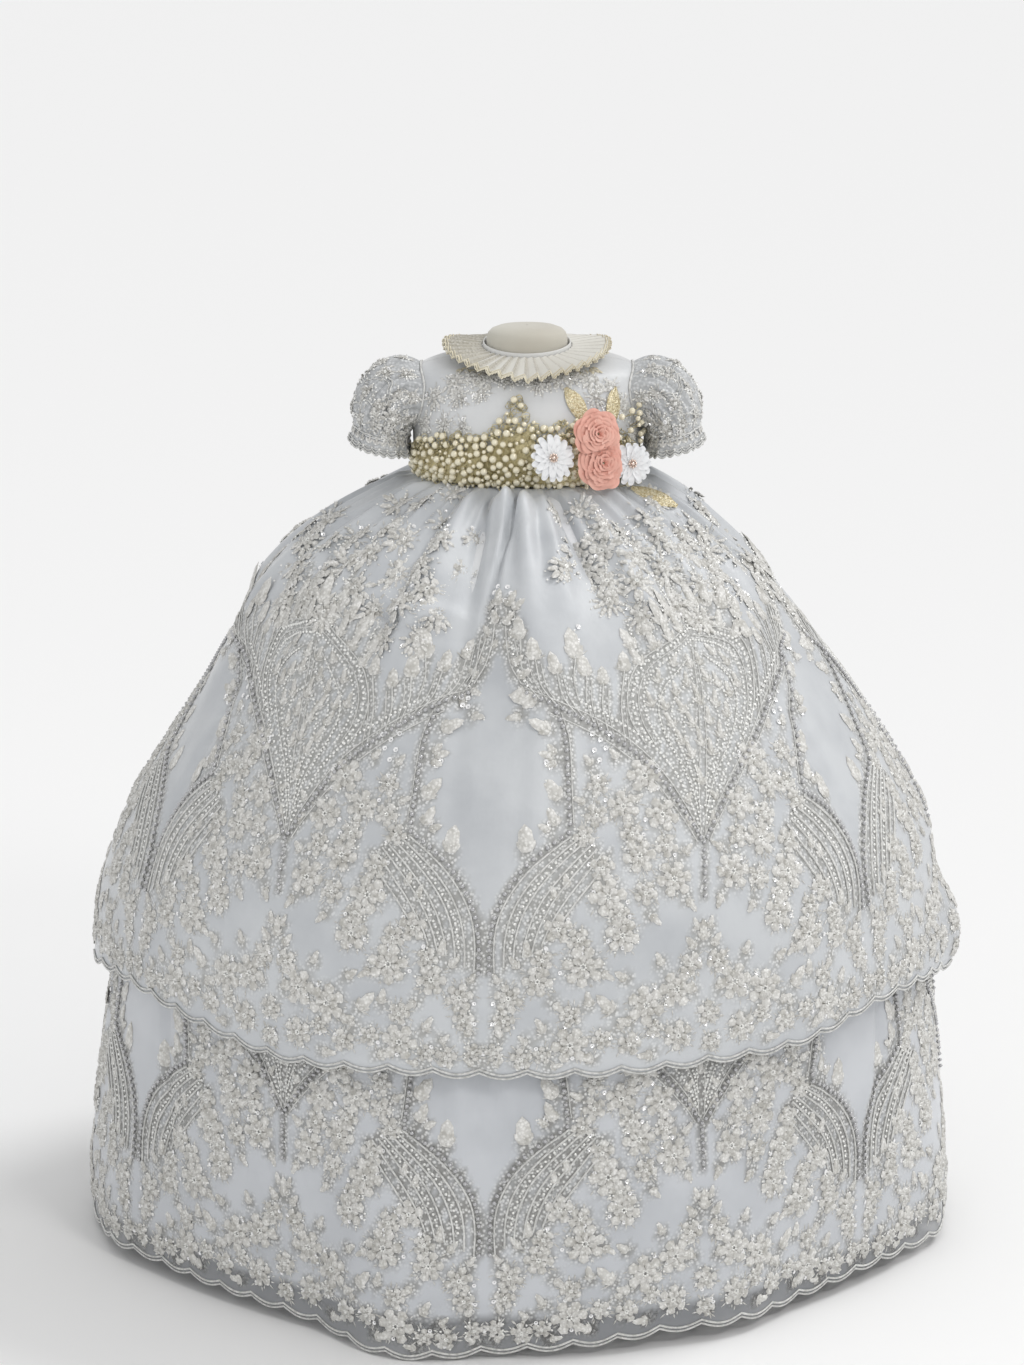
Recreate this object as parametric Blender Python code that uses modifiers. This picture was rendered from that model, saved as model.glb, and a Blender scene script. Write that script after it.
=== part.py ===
# Christening gown on a limbless dress form. Metres, +Z up, front towards -Y.
# The origin is the middle of the flat underside of the form's base.
import math

import bmesh
import bpy
import numpy as np
from mathutils import Matrix, Vector
from mathutils.bvhtree import BVHTree

# Cloth and seams
SEAM = 0.0003              # clear gap between two pieces that are sewn together
SATIN = 0.0020             # wall of the lace-covered satin of bodice and skirts
LINING = 0.0015            # wall of the lining skirt
ORGANZA = 0.0016           # wall of the pleated collar
COLUMNS = 120              # columns round a skirt, three for each waist gather
GATHERS = 40               # gathers in the skirt's waist seam
SCALLOPS = 60              # scallops round each skirt hem
SCALLOP_DEPTH = 0.0055
GATHER_DEPTH = 0.0026      # how far a waist gather stands out
GATHER_REACH = 0.045       # how far down a waist gather fades out

# Heights of the seams and edges
WAIST = 0.7450             # waist seam between bodice and skirts
TIER_SEAM = 0.3300         # the lower tier is sewn to the lining skirt here
LINING_HEM = 0.0400

# Bodice sections, neck base to waist: share of the way up, height, half width, half depth
TORSO = [
    (0.00, WAIST + SEAM, 0.1050, 0.0850),
    (0.25, 0.7750, 0.1090, 0.0890),
    (0.45, 0.8020, 0.1090, 0.0870),
    (0.62, 0.8310, 0.1080, 0.0750),
    (0.77, 0.8480, 0.1020, 0.0610),
    (0.89, 0.8550, 0.0780, 0.0500),
    (1.00, 0.8585, 0.0430, 0.0410),
]
NECK_SLOPE = 0.15          # the neckline drops towards the front

# Upper skirt between its folds: height, reach to the left, right, front and back
UPPER = [
    (0.250, 0.4190, 0.4080, 0.4050, 0.4120),
    (0.300, 0.4170, 0.4100, 0.4070, 0.4120),
    (0.347, 0.4130, 0.4010, 0.4020, 0.4070),
    (0.420, 0.3880, 0.3860, 0.3880, 0.3880),
    (0.480, 0.3510, 0.3510, 0.3540, 0.3540),
    (0.540, 0.3120, 0.3120, 0.3160, 0.3160),
    (0.600, 0.2770, 0.2650, 0.2740, 0.2740),
    (0.650, 0.2470, 0.2230, 0.2350, 0.2350),
    (0.687, 0.2080, 0.1830, 0.1950, 0.1950),
    (0.717, 0.1600, 0.1480, 0.1500, 0.1500),
    (0.735, 0.1240, 0.1200, 0.1130, 0.1130),
    (WAIST - SEAM, 0.1050, 0.1050, 0.0850, 0.0850),
]

# Lower tier: height, reach to the left, right, front and back
LOWER = [
    (0.000, 0.4300, 0.4140, 0.3980, 0.4150),
    (0.035, 0.4320, 0.4160, 0.4000, 0.4170),
    (0.110, 0.4270, 0.4120, 0.4000, 0.4150),
    (0.220, 0.4120, 0.4000, 0.3920, 0.4030),
    (0.300, 0.4010, 0.3910, 0.3850, 0.3950),
    (0.340, 0.3970, 0.3880, 0.3820, 0.3920),
]

# Hem edges all round: turn from the front in degrees, height of the upper hem, height of the lower hem
HEMS = [
    (-180, 0.2700, 0.0065),
    (-120, 0.2720, 0.0090),
    (-89, 0.2700, 0.0070),
    (-65, 0.2850, 0.0160),
    (-50, 0.2770, 0.0150),
    (-36, 0.2670, 0.0130),
    (-16, 0.2710, 0.0045),
    (2, 0.2730, 0.0100),
    (20, 0.2730, 0.0160),
    (40, 0.2750, 0.0140),
    (57, 0.2870, 0.0170),
    (72, 0.2800, 0.0120),
    (90, 0.2560, 0.0070),
    (120, 0.2700, 0.0080),
    (180, 0.2700, 0.0065),
]
HEM_SQUARE = 0.030         # both tiers fall a little flat between the front, sides and back
TIER_SQUARE = 0.070

# Large folds of the lower tier: turn, half width, how far it stands out, height of its middle, half its length
TIER_FOLDS = [
    (-17, 15, 0.026, 0.000, 0.260),
    (30, 13, 0.012, 0.000, 0.220),
    (-70, 10, 0.006, 0.000, 0.200),
    (75, 10, 0.007, 0.000, 0.200),
    (118, 15, 0.016, 0.000, 0.240),
    (158, 14, 0.010, 0.000, 0.220),
    (-155, 15, 0.015, 0.000, 0.240),
    (-112, 13, 0.010, 0.000, 0.220),
]

# Large folds of the upper skirt: turn from the front, half width, both in degrees, how far it
# stands out, height of its middle, half its length
FOLDS = [
    (-78, 11, 0.012, 0.640, 0.150),
    (-52, 9, 0.011, 0.660, 0.120),
    (-27, 9, 0.014, 0.670, 0.130),
    (3, 12, 0.016, 0.660, 0.170),
    (30, 8, 0.010, 0.680, 0.110),
    (54, 9, 0.012, 0.650, 0.140),
    (82, 10, 0.011, 0.640, 0.130),
    (113, 10, 0.013, 0.660, 0.150),
    (141, 9, 0.010, 0.670, 0.120),
    (172, 12, 0.014, 0.650, 0.160),
    (-156, 9, 0.012, 0.670, 0.130),
    (-129, 10, 0.010, 0.650, 0.140),
    (-103, 9, 0.012, 0.660, 0.120),
    (-30, 16, 0.006, 0.330, 0.150),
    (38, 15, 0.007, 0.320, 0.140),
    (86, 7, 0.014, 0.300, 0.070),
    (-84, 12, 0.006, 0.290, 0.110),
    (128, 17, 0.007, 0.320, 0.140),
    (-140, 16, 0.007, 0.320, 0.140),
]

# Armholes and sleeves
ARM_MIDDLE, ARM_HALF = 0.570, 0.210    # along the bodice sections
ARM_WIDTH = math.radians(20)           # half the armhole's turn round the body
CUFF_AT = Vector((0.1395, -0.004, 0.7840))
CUFF_HALF = (0.0250, 0.0450)           # half width and half depth of the gathered cuff
CUFF_TILT = 0.22                       # the cuff's outer side stands higher
PUFF_UP, PUFF_OUT = 0.022, 0.040       # how far the puff swells at the shoulder and above the cuff
SLEEVE_GATHERS = 12
FRILL_DROP = 0.0150

# Neck band and pleated collar
BAND_HEIGHT = 0.0120
BAND_WALL = 0.0018
COLLAR_PLEATS = 40
COLLAR_HALF = (0.0780, 0.0790, 0.0720)  # reach to each side, the front and the back
COLLAR_LIFT = 0.0110                    # its sides stand higher than its front and back
COLLAR_FOOT, COLLAR_DROP = 0.0060, 0.0140  # sewn on half way up the band, and falls down the back
PLEAT_DEPTH = 0.0046

# Dress form
# How far the form stands inside the bodice: share of the way up, gap
FORM_GAP = [
    (0.00, 0.0026),
    (0.50, 0.0024),
    (0.80, 0.0022),
    (0.90, 0.0009),
    (1.00, 0.0008),
]
NECK_TOP = 0.8860
FORM_FLOOR = 0.6300        # underside of the torso
POLE_RADIUS = 0.0125
BASE_RADIUS, BASE_HEIGHT = 0.1500, 0.0180


def start():
    for thing in list(bpy.data.objects):
        bpy.data.objects.remove(thing, do_unlink=True)
    gown = bpy.data.collections.new("christening_gown")
    bpy.context.scene.collection.children.link(gown)
    return gown


GOWN = start()


def paint(name, colour, roughness, metallic=0.0):
    look = bpy.data.materials.new(name)
    look.use_nodes = True
    shader = look.node_tree.nodes["Principled BSDF"]
    shader.inputs["Base Color"].default_value = (*colour, 1.0)
    shader.inputs["Roughness"].default_value = roughness
    shader.inputs["Metallic"].default_value = metallic
    return look


def solid(name, points, faces, colour, roughness=0.6, metallic=0.0):
    mesh = bpy.data.meshes.new(name)
    mesh.from_pydata([tuple(float(c) for c in p) for p in points], [], faces)
    shape = bmesh.new()
    shape.from_mesh(mesh)
    bmesh.ops.recalc_face_normals(shape, faces=shape.faces)
    shape.to_mesh(mesh)
    shape.free()
    thing = bpy.data.objects.new(name, mesh)
    mesh.materials.append(paint(name, colour, roughness, metallic))
    GOWN.objects.link(thing)
    return thing


def smooth(table, k, at):
    """Column k of a table at any value of its first column, as a smooth curve."""
    x = np.array([row[0] for row in table])
    y = np.array([row[k] for row in table])
    slope = np.gradient(y, x)
    i = np.clip(np.searchsorted(x, at, side="right") - 1, 0, len(x) - 2)
    step = x[i + 1] - x[i]
    t = np.clip((at - x[i]) / step, 0.0, 1.0)
    return ((2 * t**3 - 3 * t**2 + 1) * y[i] + (t**3 - 2 * t**2 + t) * step * slope[i]
            + (3 * t**2 - 2 * t**3) * y[i + 1] + (t**3 - t**2) * step * slope[i + 1])


def oval(turn, left, right, front, back):
    """Reach of a ring with four unlike quarters; turn 0 is the front, growing to the right."""
    across = np.where(np.sin(turn) > 0, right, left)
    along = np.where(np.cos(turn) > 0, front, back)
    return 1.0 / np.sqrt((np.sin(turn) / across) ** 2 + (np.cos(turn) / along) ** 2)


def ring(turn, reach, height):
    level = height + 0 * turn * reach
    return np.stack([reach * np.sin(turn), -reach * np.cos(turn), level], axis=-1)


def bump(x):
    """1 at 0, falling smoothly to 0 at 1 and beyond."""
    return np.cos(np.clip(np.abs(x), 0, 1) * math.pi / 2) ** 2


def outward(grid, closed):
    """Unit directions out of a grid whose rows rise and whose columns turn to the right."""
    if closed:
        along = np.roll(grid, -1, axis=1) - np.roll(grid, 1, axis=1)
    else:
        along = np.gradient(grid, axis=1)
    out = np.cross(along, np.gradient(grid, axis=0))
    for _ in range(3):
        out = out / np.linalg.norm(out, axis=-1, keepdims=True)
        if closed:
            out = np.roll(out, -1, axis=1) + 2 * out + np.roll(out, 1, axis=1)
    return out / np.linalg.norm(out, axis=-1, keepdims=True)


def wall(name, outer, thick, closed, colour, roughness=0.6, inner=None, metallic=0.0):
    """A cloth wall: its outer points, the same points moved in by its thickness, and its edges."""
    if inner is None:
        inner = outer - outward(outer, closed) * thick
    rows, cols = outer.shape[:2]
    half = rows * cols
    spans = cols if closed else cols - 1
    faces = []
    for r in range(rows - 1):
        for c in range(spans):
            a, b = r * cols + c, r * cols + (c + 1) % cols
            faces.append((a, b, b + cols, a + cols))
            faces.append((half + a, half + a + cols, half + b + cols, half + b))
    for c in range(spans):
        a, b = c, (c + 1) % cols
        faces.append((a, half + a, half + b, b))
        top = half - cols
        faces.append((top + a, top + b, half + top + b, half + top + a))
    if not closed:
        for r in range(rows - 1):
            a, b = r * cols, r * cols + cols - 1
            faces.append((a, a + cols, half + a + cols, half + a))
            faces.append((b, half + b, half + b + cols, b + cols))
    points = np.concatenate([outer.reshape(-1, 3), inner.reshape(-1, 3)])
    return solid(name, points, faces, colour, roughness, metallic)


def turned(name, rings, colour, roughness=0.6):
    """A whole body from closed rings, each flat end closed by one face."""
    rows, cols = len(rings), len(rings[0])
    faces = [(r * cols + c, r * cols + (c + 1) % cols, (r + 1) * cols + (c + 1) % cols, (r + 1) * cols + c)
             for r in range(rows - 1) for c in range(cols)]
    faces.append(tuple(range(cols))[::-1])
    faces.append(tuple(range((rows - 1) * cols, rows * cols)))
    return solid(name, np.concatenate(rings), faces, colour, roughness)


def torso(turn, share):
    """Outside of the bodice."""
    wide, deep = smooth(TORSO, 2, share), smooth(TORSO, 3, share)
    reach = oval(turn, wide, wide, deep, deep)
    points = ring(turn, reach, smooth(TORSO, 1, share))
    points[..., 2] += NECK_SLOPE * points[..., 1] * share**2
    return points


def torso_out(turn, share):
    """Unit directions straight out of the bodice."""
    tiny = 0.0005
    along = torso(turn + tiny, share) - torso(turn - tiny, share)
    out = np.cross(along, torso(turn, np.minimum(share + tiny, 1)) - torso(turn, np.maximum(share - tiny, 0)))
    return out / np.linalg.norm(out, axis=-1, keepdims=True)


def folds(table, turn, height):
    out = 0 * turn * height
    for at, width, depth, middle, length in table:
        away = (turn - math.radians(at) + math.pi) % (2 * math.pi) - math.pi
        out = out + depth * bump(away / math.radians(width)) * bump((height - middle) / length)
    return out


def skirt(turn, height):
    """Outside of the upper skirt with its large folds, without its gathers."""
    reach = oval(turn, *(smooth(UPPER, k, height) for k in (1, 2, 3, 4)))
    reach = reach * (1 - HEM_SQUARE * np.sin(2 * turn) ** 2 * bump((height - 0.25) / 0.3))
    return ring(turn, reach + folds(FOLDS, turn, height), height)


def tier(turn, height):
    """Outside of the lower tier with its folds, which open towards its hem."""
    reach = oval(turn, *(smooth(LOWER, k, height) for k in (1, 2, 3, 4)))
    reach = reach * (1 - np.sin(2 * turn) ** 2 * (HEM_SQUARE + (TIER_SQUARE - HEM_SQUARE) * bump(height / 0.34)))
    return ring(turn, reach + folds(TIER_FOLDS, turn, height), height)


def scalloped(k, turn):
    """Height of a scalloped hem, column k of its table."""
    degrees = (np.degrees(turn) + 180) % 360 - 180
    return smooth(HEMS, k, degrees) + SCALLOP_DEPTH * (0.5 - np.abs(np.sin(turn * SCALLOPS / 2)))


def turns(count):
    return np.arange(count) * 2 * math.pi / count


IVORY = (0.83, 0.83, 0.80)
PURE = (0.88, 0.88, 0.88)
CREAM = (0.82, 0.77, 0.66)

# Upper skirt: satin and organza under lace, gathered into the waist seam
around = turns(COLUMNS)[None, :]
steps = np.array([0.0, 0.07, 0.30, 0.54, 0.74, 0.87, 0.95, 1.0])[:, None]
hem = scalloped(1, around)
heights = hem + (WAIST - SEAM - hem) * steps
outer = skirt(around + 0 * heights, heights)
gather = GATHER_DEPTH * bump((WAIST - 0.012 - heights) / GATHER_REACH) * (0.5 + 0.5 * np.cos(GATHERS * around))
gather = gather * np.clip((WAIST - SEAM - heights) / 0.006, 0, 1)
outer = outer + outward(outer, True) * gather[..., None]
wall("upper_skirt", outer, SATIN, True, IVORY, 0.55)

# Lower tier: the same lace over a sheer net edge, sewn to the lining skirt behind the upper hem
steps = np.array([0.0, 0.20, 0.60, 1.0])[:, None]
hem = scalloped(2, around)
heights = hem + (TIER_SEAM - hem) * steps
wall("lower_skirt", tier(around + 0 * heights, heights), SATIN, True, IVORY, 0.55)

# Lining skirt: carries the lower tier and hangs from the waist seam inside the upper skirt
# Its sections: height, how far it lies inside the tier over it
LINING_ROWS = [
    (LINING_HEM, SATIN + SEAM + 0.006),
    (0.1600, SATIN + SEAM + 0.006),
    (0.2900, SATIN + SEAM + 0.003),
    (TIER_SEAM + 0.0005, SATIN + SEAM),
    (0.3720, SATIN + SEAM + 0.008),
    (0.5000, SATIN + SEAM + 0.008),
    (0.6400, SATIN + SEAM + 0.006),
    (0.7210, SATIN + SEAM + 0.0035),
    (WAIST - SEAM, SATIN + SEAM + 0.0005),
]
third_around = turns(COLUMNS // 3)[None, :]
heights, inset = (np.array([row[k] for row in LINING_ROWS])[:, None] + 0 * third_around for k in (0, 1))
over = np.where((heights < TIER_SEAM + 0.001)[..., None], tier(third_around, heights), skirt(third_around, heights))
lean = np.where((heights < TIER_SEAM + 0.001)[..., None], outward(tier(third_around, heights), True),
                outward(skirt(third_around, heights), True))
wall("lining_skirt", over - lean * inset[..., None], LINING, True, PURE, 0.5)


# Bodice panels: a front from side seam to side seam and two backs that meet at a centre closing
def armhole_edge(share):
    inside = 1 - ((share - ARM_MIDDLE) / ARM_HALF) ** 2
    return math.pi / 2 - ARM_WIDTH * np.sqrt(np.clip(inside, 0, 1))


arm_low, arm_high = ARM_MIDDLE - ARM_HALF, ARM_MIDDLE + ARM_HALF
shares = np.concatenate([[0.0, arm_low / 2], ARM_MIDDLE - ARM_HALF * np.cos(np.linspace(0, math.pi, 7)),
                         [0.88, 1.0]])[:, None]
side_gap = SEAM / 2 / smooth(TORSO, 2, shares)
back_gap = SEAM / 2 / smooth(TORSO, 3, shares)
far = math.pi - armhole_edge(shares) + side_gap
right_back = far + (math.pi - back_gap - far) * np.linspace(0, 1, 9)[None, :]
for name, angle in (("bodice_front", (armhole_edge(shares) - side_gap) * np.linspace(-1, 1, 17)[None, :]),
                    ("bodice_back_right", right_back), ("bodice_back_left", -right_back[:, ::-1])):
    share = shares + 0 * angle
    panel = torso(angle, share)
    wall(name, panel, SATIN, False, IVORY, 0.5, inner=panel - torso_out(angle, share) * SATIN)


# Sleeves: a puff gathered into the armhole and on a line above a scalloped frill
def armhole(t):
    share = ARM_MIDDLE - ARM_HALF * np.cos(2 * math.pi * t)
    return share, math.pi / 2 - ARM_WIDTH * np.sin(2 * math.pi * t)


def cuff(t, grow, drop):
    u = 2 * math.pi * t
    x = -np.cos(u) * (CUFF_HALF[0] + grow)
    y = -np.sin(u) * (CUFF_HALF[1] + grow)
    return np.stack([CUFF_AT.x + x, CUFF_AT.y + y, CUFF_AT.z + CUFF_TILT * x - drop], axis=-1)


def sleeve(t, v):
    share, turn = armhole(t)
    head = torso(turn, share)
    head = head + np.array([SEAM + 0.0006, 0, 0])
    end = cuff(t, 0.0, 0.0)
    top = (1 - np.cos(2 * math.pi * t)) / 2
    lift = np.stack([0.003 + (PUFF_OUT - 0.003) * top, -0.004 * np.sin(2 * math.pi * t),
                     -0.003 + (PUFF_UP + 0.003) * top], axis=-1)
    swell = np.stack([-0.001 + 0.013 * top, -0.014 * np.sin(2 * math.pi * t), 0.004 + 0.032 * top], axis=-1)
    a, b, c, d = (1 - v) ** 3, 3 * v * (1 - v) ** 2, 3 * v**2 * (1 - v), v**3
    return (a[..., None] * head + b[..., None] * (head + lift) + c[..., None] * (end + swell)
            + d[..., None] * end)


SLEEVE_COLUMNS = SLEEVE_GATHERS * 3
t = (np.arange(SLEEVE_COLUMNS) / SLEEVE_COLUMNS)[None, :]
v = np.array([1.0, 0.90, 0.66, 0.40, 0.16, 0.0])[:, None]
puff = sleeve(t + 0 * v, v + 0 * t)
pull = 0.0022 * (0.5 + 0.5 * np.cos(2 * math.pi * SLEEVE_GATHERS * t)) * 4 * v * (1 - v)
puff = puff - outward(puff, True) * pull[..., None]
drop = np.array([1.0, 0.0])[:, None]
frill = cuff(t + 0 * drop, 0.004 * drop**0.5 + 0.0012 * drop * np.cos(2 * math.pi * SLEEVE_GATHERS * t),
             SEAM + (FRILL_DROP - 0.002 + 0.002 * np.cos(2 * math.pi * SLEEVE_GATHERS * t)) * drop)
for name, sign in (("right", 1), ("left", -1)):
    flip = np.array([sign, 1, 1])
    order = slice(None, None, sign)
    wall("sleeve_" + name, (puff * flip)[:, order], SATIN * 0.8, True, IVORY, 0.55)
    wall("sleeve_frill_" + name, (frill * flip)[:, order], 0.0012, True, IVORY, 0.6)

# Neck band: a doubled strip of satin standing on the neckline
around = turns(32)[None, :]
rise = np.array([0.0, 1.0])[:, None]
band = torso(around + 0 * rise, 1.0 + 0 * (around + rise))
band[..., 2] += SEAM + BAND_HEIGHT * rise
band[..., :2] *= 1 - 0.02 * rise[..., None]
wall("neck_band", band, BAND_WALL, True, PURE, 0.35)

# Collar: knife-pleated organza with a lace edge, sewn into the foot of the neck band
around = turns(COLLAR_PLEATS * 3)[None, :]
out = np.array([1.0, 0.0])[:, None]
foot = torso(around, 1.0 + 0 * around)
foot_reach = np.hypot(foot[..., 0], foot[..., 1]) + SEAM
rim = oval(around, COLLAR_HALF[0], COLLAR_HALF[0], COLLAR_HALF[1], COLLAR_HALF[2])
reach = foot_reach + (rim - foot_reach) * out
saw = (np.arange(COLLAR_PLEATS * 3) % 3 / 2)[None, :]
collar = ring(around, reach, 0.0)
fall = COLLAR_DROP * bump(np.clip(1 + np.cos(around), 0, 1) ** 0.8) * out**1.5
collar[..., 2] = (0.8612 + COLLAR_FOOT * (1 - out) - 0.0030 * out + COLLAR_LIFT * np.abs(np.sin(around)) * out
                  - fall + 0.145 * collar[..., 1] + (0.25 + 0.75 * out) * PLEAT_DEPTH * (saw - 0.5))
under = collar - np.array([0, 0, ORGANZA])
wall("collar", collar, ORGANZA, True, CREAM, 0.5, inner=under)

# Belt band: a wired ribbon of pale gold thread round the waist, above the seam
around = turns(32)[None, :]
share = np.array([0.006, 0.11])[:, None]
belt = torso(around + 0 * share, share + 0 * around)
out = outward(belt, True)
wall("belt_band", belt + out * (SEAM + 0.0016), 0.0016, True, (0.70, 0.58, 0.36), 0.45,
     inner=belt + out * SEAM, metallic=0.2)

# Belt pearls: a spray of beads in heaps over the belt, highest at the front
# Spray outline: turn in degrees, foot and top as shares up the bodice, thickness, size of the beads
SPRAY = [
    (-82, 0.02, 0.12, 0.003, 0.0014),
    (-62, 0.01, 0.22, 0.006, 0.0018),
    (-40, 0.01, 0.33, 0.008, 0.0020),
    (-22, 0.01, 0.39, 0.009, 0.0020),
    (-7, 0.01, 0.57, 0.007, 0.0018),
    (8, 0.01, 0.44, 0.004, 0.0006),
    (30, 0.01, 0.46, 0.003, 0.0000),
    (52, 0.01, 0.40, 0.003, 0.0000),
    (74, 0.02, 0.20, 0.004, 0.0000),
]
degrees = np.linspace(SPRAY[0][0], SPRAY[-1][0], 31)[None, :]
foot, top, thick, bead = (smooth(SPRAY, k, degrees) for k in (1, 2, 3, 4))
level = np.linspace(0, 1, 5)[:, None]
share = foot + (top - foot) * level
turn = np.radians(degrees) + 0 * level
spray = torso(turn, share)
out = outward(spray, False)
lump = bead * ((np.arange(31)[None, :] + np.arange(5)[:, None]) % 2)
body = thick * (0.35 + 0.65 * bump((level - 0.4) / 0.75)) + lump
pearls = wall("belt_pearls", spray + out * (2 * SEAM + 0.0016 + body)[..., None], 0, False, (0.80, 0.72, 0.55), 0.3,
     inner=spray + out * (2 * SEAM + 0.0016))


# Flowers: they all face the same way, pressed against each other
BEADS = BVHTree.FromPolygons([v.co for v in pearls.data.vertices], [f.vertices for f in pearls.data.polygons])
FACING = Vector((0.36, -0.90, 0.20)).normalized()
SIDE = FACING.cross(Vector((0, 0, -1))).normalized()
UP = SIDE.cross(FACING) * -1


def pressed(at, radius, others, angle):
    """Reach of a flower at an angle, cut short half way to each neighbour."""
    reach = radius + 0 * angle
    for other in others:
        gap = other - at
        x, y = gap.dot(SIDE), gap.dot(UP)
        toward = np.cos(angle - math.atan2(y, x))
        limit = (math.hypot(x, y) / 2 - SEAM / 2 - 0.0002) / np.maximum(toward, 0.05)
        reach = np.minimum(reach, limit)
    return reach


def flower(name, at, others, radius, relief, petals, colour, columns):
    """A disc of petals on a stub that reaches back to the pearls: relief rows are share of the reach,
    height and petal wave."""
    hit = BEADS.ray_cast(at, -FACING)[3]
    foot = SEAM * 2 - hit
    angle = turns(columns)
    reach = pressed(at, radius, others, angle)
    points, faces = [], []
    for share, height, wave in relief:
        far = reach * share * (1 - wave * (0.5 - 0.5 * np.cos(petals * angle + 5 * share)))
        for a, r in zip(angle, far):
            points.append(at + SIDE * (r * math.cos(a)) + UP * (r * math.sin(a)) + FACING * height)
    rows = len(relief)
    for r in range(rows - 1):
        for c in range(columns):
            n = (c + 1) % columns
            faces.append((r * columns + c, r * columns + n, (r + 1) * columns + n, (r + 1) * columns + c))
    points.append(at + FACING * relief[-1][1])
    points.append(at + FACING * foot)
    for c in range(columns):
        n = (c + 1) % columns
        faces.append(((rows - 1) * columns + c, (rows - 1) * columns + n, len(points) - 2))
        faces.append((n, c, len(points) - 1))
    return solid(name, points, faces, colour, 0.7)


ROSE_RELIEF = [
    (0.30, -0.0035, 0.00), (0.92, 0.0010, 0.10), (1.00, 0.0026, 0.12), (0.84, 0.0036, 0.10), (0.72, 0.0030, 0.06),
    (0.70, 0.0066, 0.12), (0.54, 0.0076, 0.10), (0.44, 0.0064, 0.05), (0.40, 0.0100, 0.10), (0.26, 0.0108, 0.05),
    (0.18, 0.0090, 0.00),
]
DAISY_RELIEF = [
    (0.16, -0.0012, 0.00), (0.60, -0.0002, 0.28), (1.00, 0.0020, 0.34), (0.96, 0.0034, 0.34), (0.55, 0.0020, 0.22),
    (0.30, 0.0014, 0.10),
]
CENTRES = {
    "rose_upper": Vector((0.0640, -0.0930, 0.7970)),
    "rose_lower": Vector((0.0690, -0.0910, 0.7690)),
    "daisy_left": Vector((0.0235, -0.1020, 0.7760)),
    "daisy_right": Vector((0.0980, -0.0720, 0.7650)),
}
PINK, WHITE = (0.86, 0.50, 0.42), (0.92, 0.92, 0.90)
for name, radius, relief, petals, colour, columns in (
        ("rose_upper", 0.0225, ROSE_RELIEF, 5, PINK, 25), ("rose_lower", 0.0245, ROSE_RELIEF, 6, PINK, 24),
        ("daisy_left", 0.0230, DAISY_RELIEF, 12, WHITE, 36), ("daisy_right", 0.0210, DAISY_RELIEF, 12, WHITE, 36)):
    at = CENTRES[name]
    others = [spot for key, spot in CENTRES.items() if key != name]
    flower(name, at, others, radius, relief, petals, colour, columns)

# Daisy centres: a rhinestone in a ring of small stones
for name in ("daisy_left", "daisy_right"):
    bpy.ops.mesh.primitive_uv_sphere_add(segments=12, ring_count=6, radius=0.0042)
    stone = bpy.context.object
    stone.name = stone.data.name = name + "_stone"
    stone.data.transform(Matrix.Diagonal((1, 1, 0.55, 1)))
    tilt = FACING.to_track_quat("Z", "Y").to_matrix().to_4x4()
    stone.data.transform(Matrix.Translation(CENTRES[name] + FACING * (0.0014 + SEAM + 0.0024)) @ tilt)
    stone.data.materials.append(paint(stone.name, (0.85, 0.78, 0.70), 0.15, 0.3))
    for collection in list(stone.users_collection):
        collection.objects.unlink(stone)
    GOWN.objects.link(stone)


# Gold leaves: root and tip as turn in degrees and share up the bodice, half width
def leaf(name, root, tip, half, surface, out, lift):
    along = np.linspace(0, 1, 6)[:, None]
    across = np.array([[-1.0, 0.0, 1.0]])
    turn = np.radians(root[0] + (tip[0] - root[0]) * along) + 0 * across
    share = root[1] + (tip[1] - root[1]) * along + 0 * across
    spine = surface(turn, share)
    length = np.linalg.norm(spine[-1] - spine[0], axis=-1).mean()
    sideways = np.cross(spine[-1, 1] - spine[0, 1], out(turn, share)[2, 1])
    sideways = sideways / np.linalg.norm(sideways)
    width = half * (0.12 + np.sin(math.pi * np.clip(along, 0.06, 0.94)) ** 0.8) * across
    flat = spine + sideways * width[..., None] + out(turn, share) * lift
    camber = 0.0010 + 0.0012 * (1 - across**2) + 0 * along
    wall(name, flat + out(turn, share) * camber[..., None], 0, False, (0.72, 0.58, 0.34), 0.35, inner=flat,
         metallic=0.5)
    return length


def skirt_out(turn, height):
    tiny = 0.0005
    along = skirt(turn + tiny, height) - skirt(turn - tiny, height)
    out = np.cross(along, skirt(turn, height + tiny) - skirt(turn, height - tiny))
    return out / np.linalg.norm(out, axis=-1, keepdims=True)


leaf("gold_leaf_top", (37, 0.49), (31, 0.66), 0.0048, torso, torso_out, SEAM)
leaf("gold_leaf_side", (51, 0.45), (60, 0.62), 0.0042, torso, torso_out, SEAM)
leaf("gold_leaf_low", (58, 0.7370), (61, 0.7190), 0.0050, skirt, skirt_out, GATHER_DEPTH + SEAM)

# Back closing: three small round buttons over the centre-back edges
for number, share in ((1, 0.76), (2, 0.50), (3, 0.24)):
    spot, out = (Vector(f(np.array(math.pi), np.array(share))) for f in (torso, torso_out))
    bpy.ops.mesh.primitive_cylinder_add(vertices=16, radius=0.0050, depth=0.0024, location=(0, 0, 0))
    button = bpy.context.object
    button.name = button.data.name = "back_button_%d" % number
    turn = out.to_track_quat("Z", "Y").to_matrix().to_4x4()
    button.data.transform(Matrix.Translation(spot + out * (SEAM + 0.0012)) @ turn)
    button.data.materials.append(paint(button.name, PURE, 0.3))
    for collection in list(button.users_collection):
        collection.objects.unlink(button)
    GOWN.objects.link(button)

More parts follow.
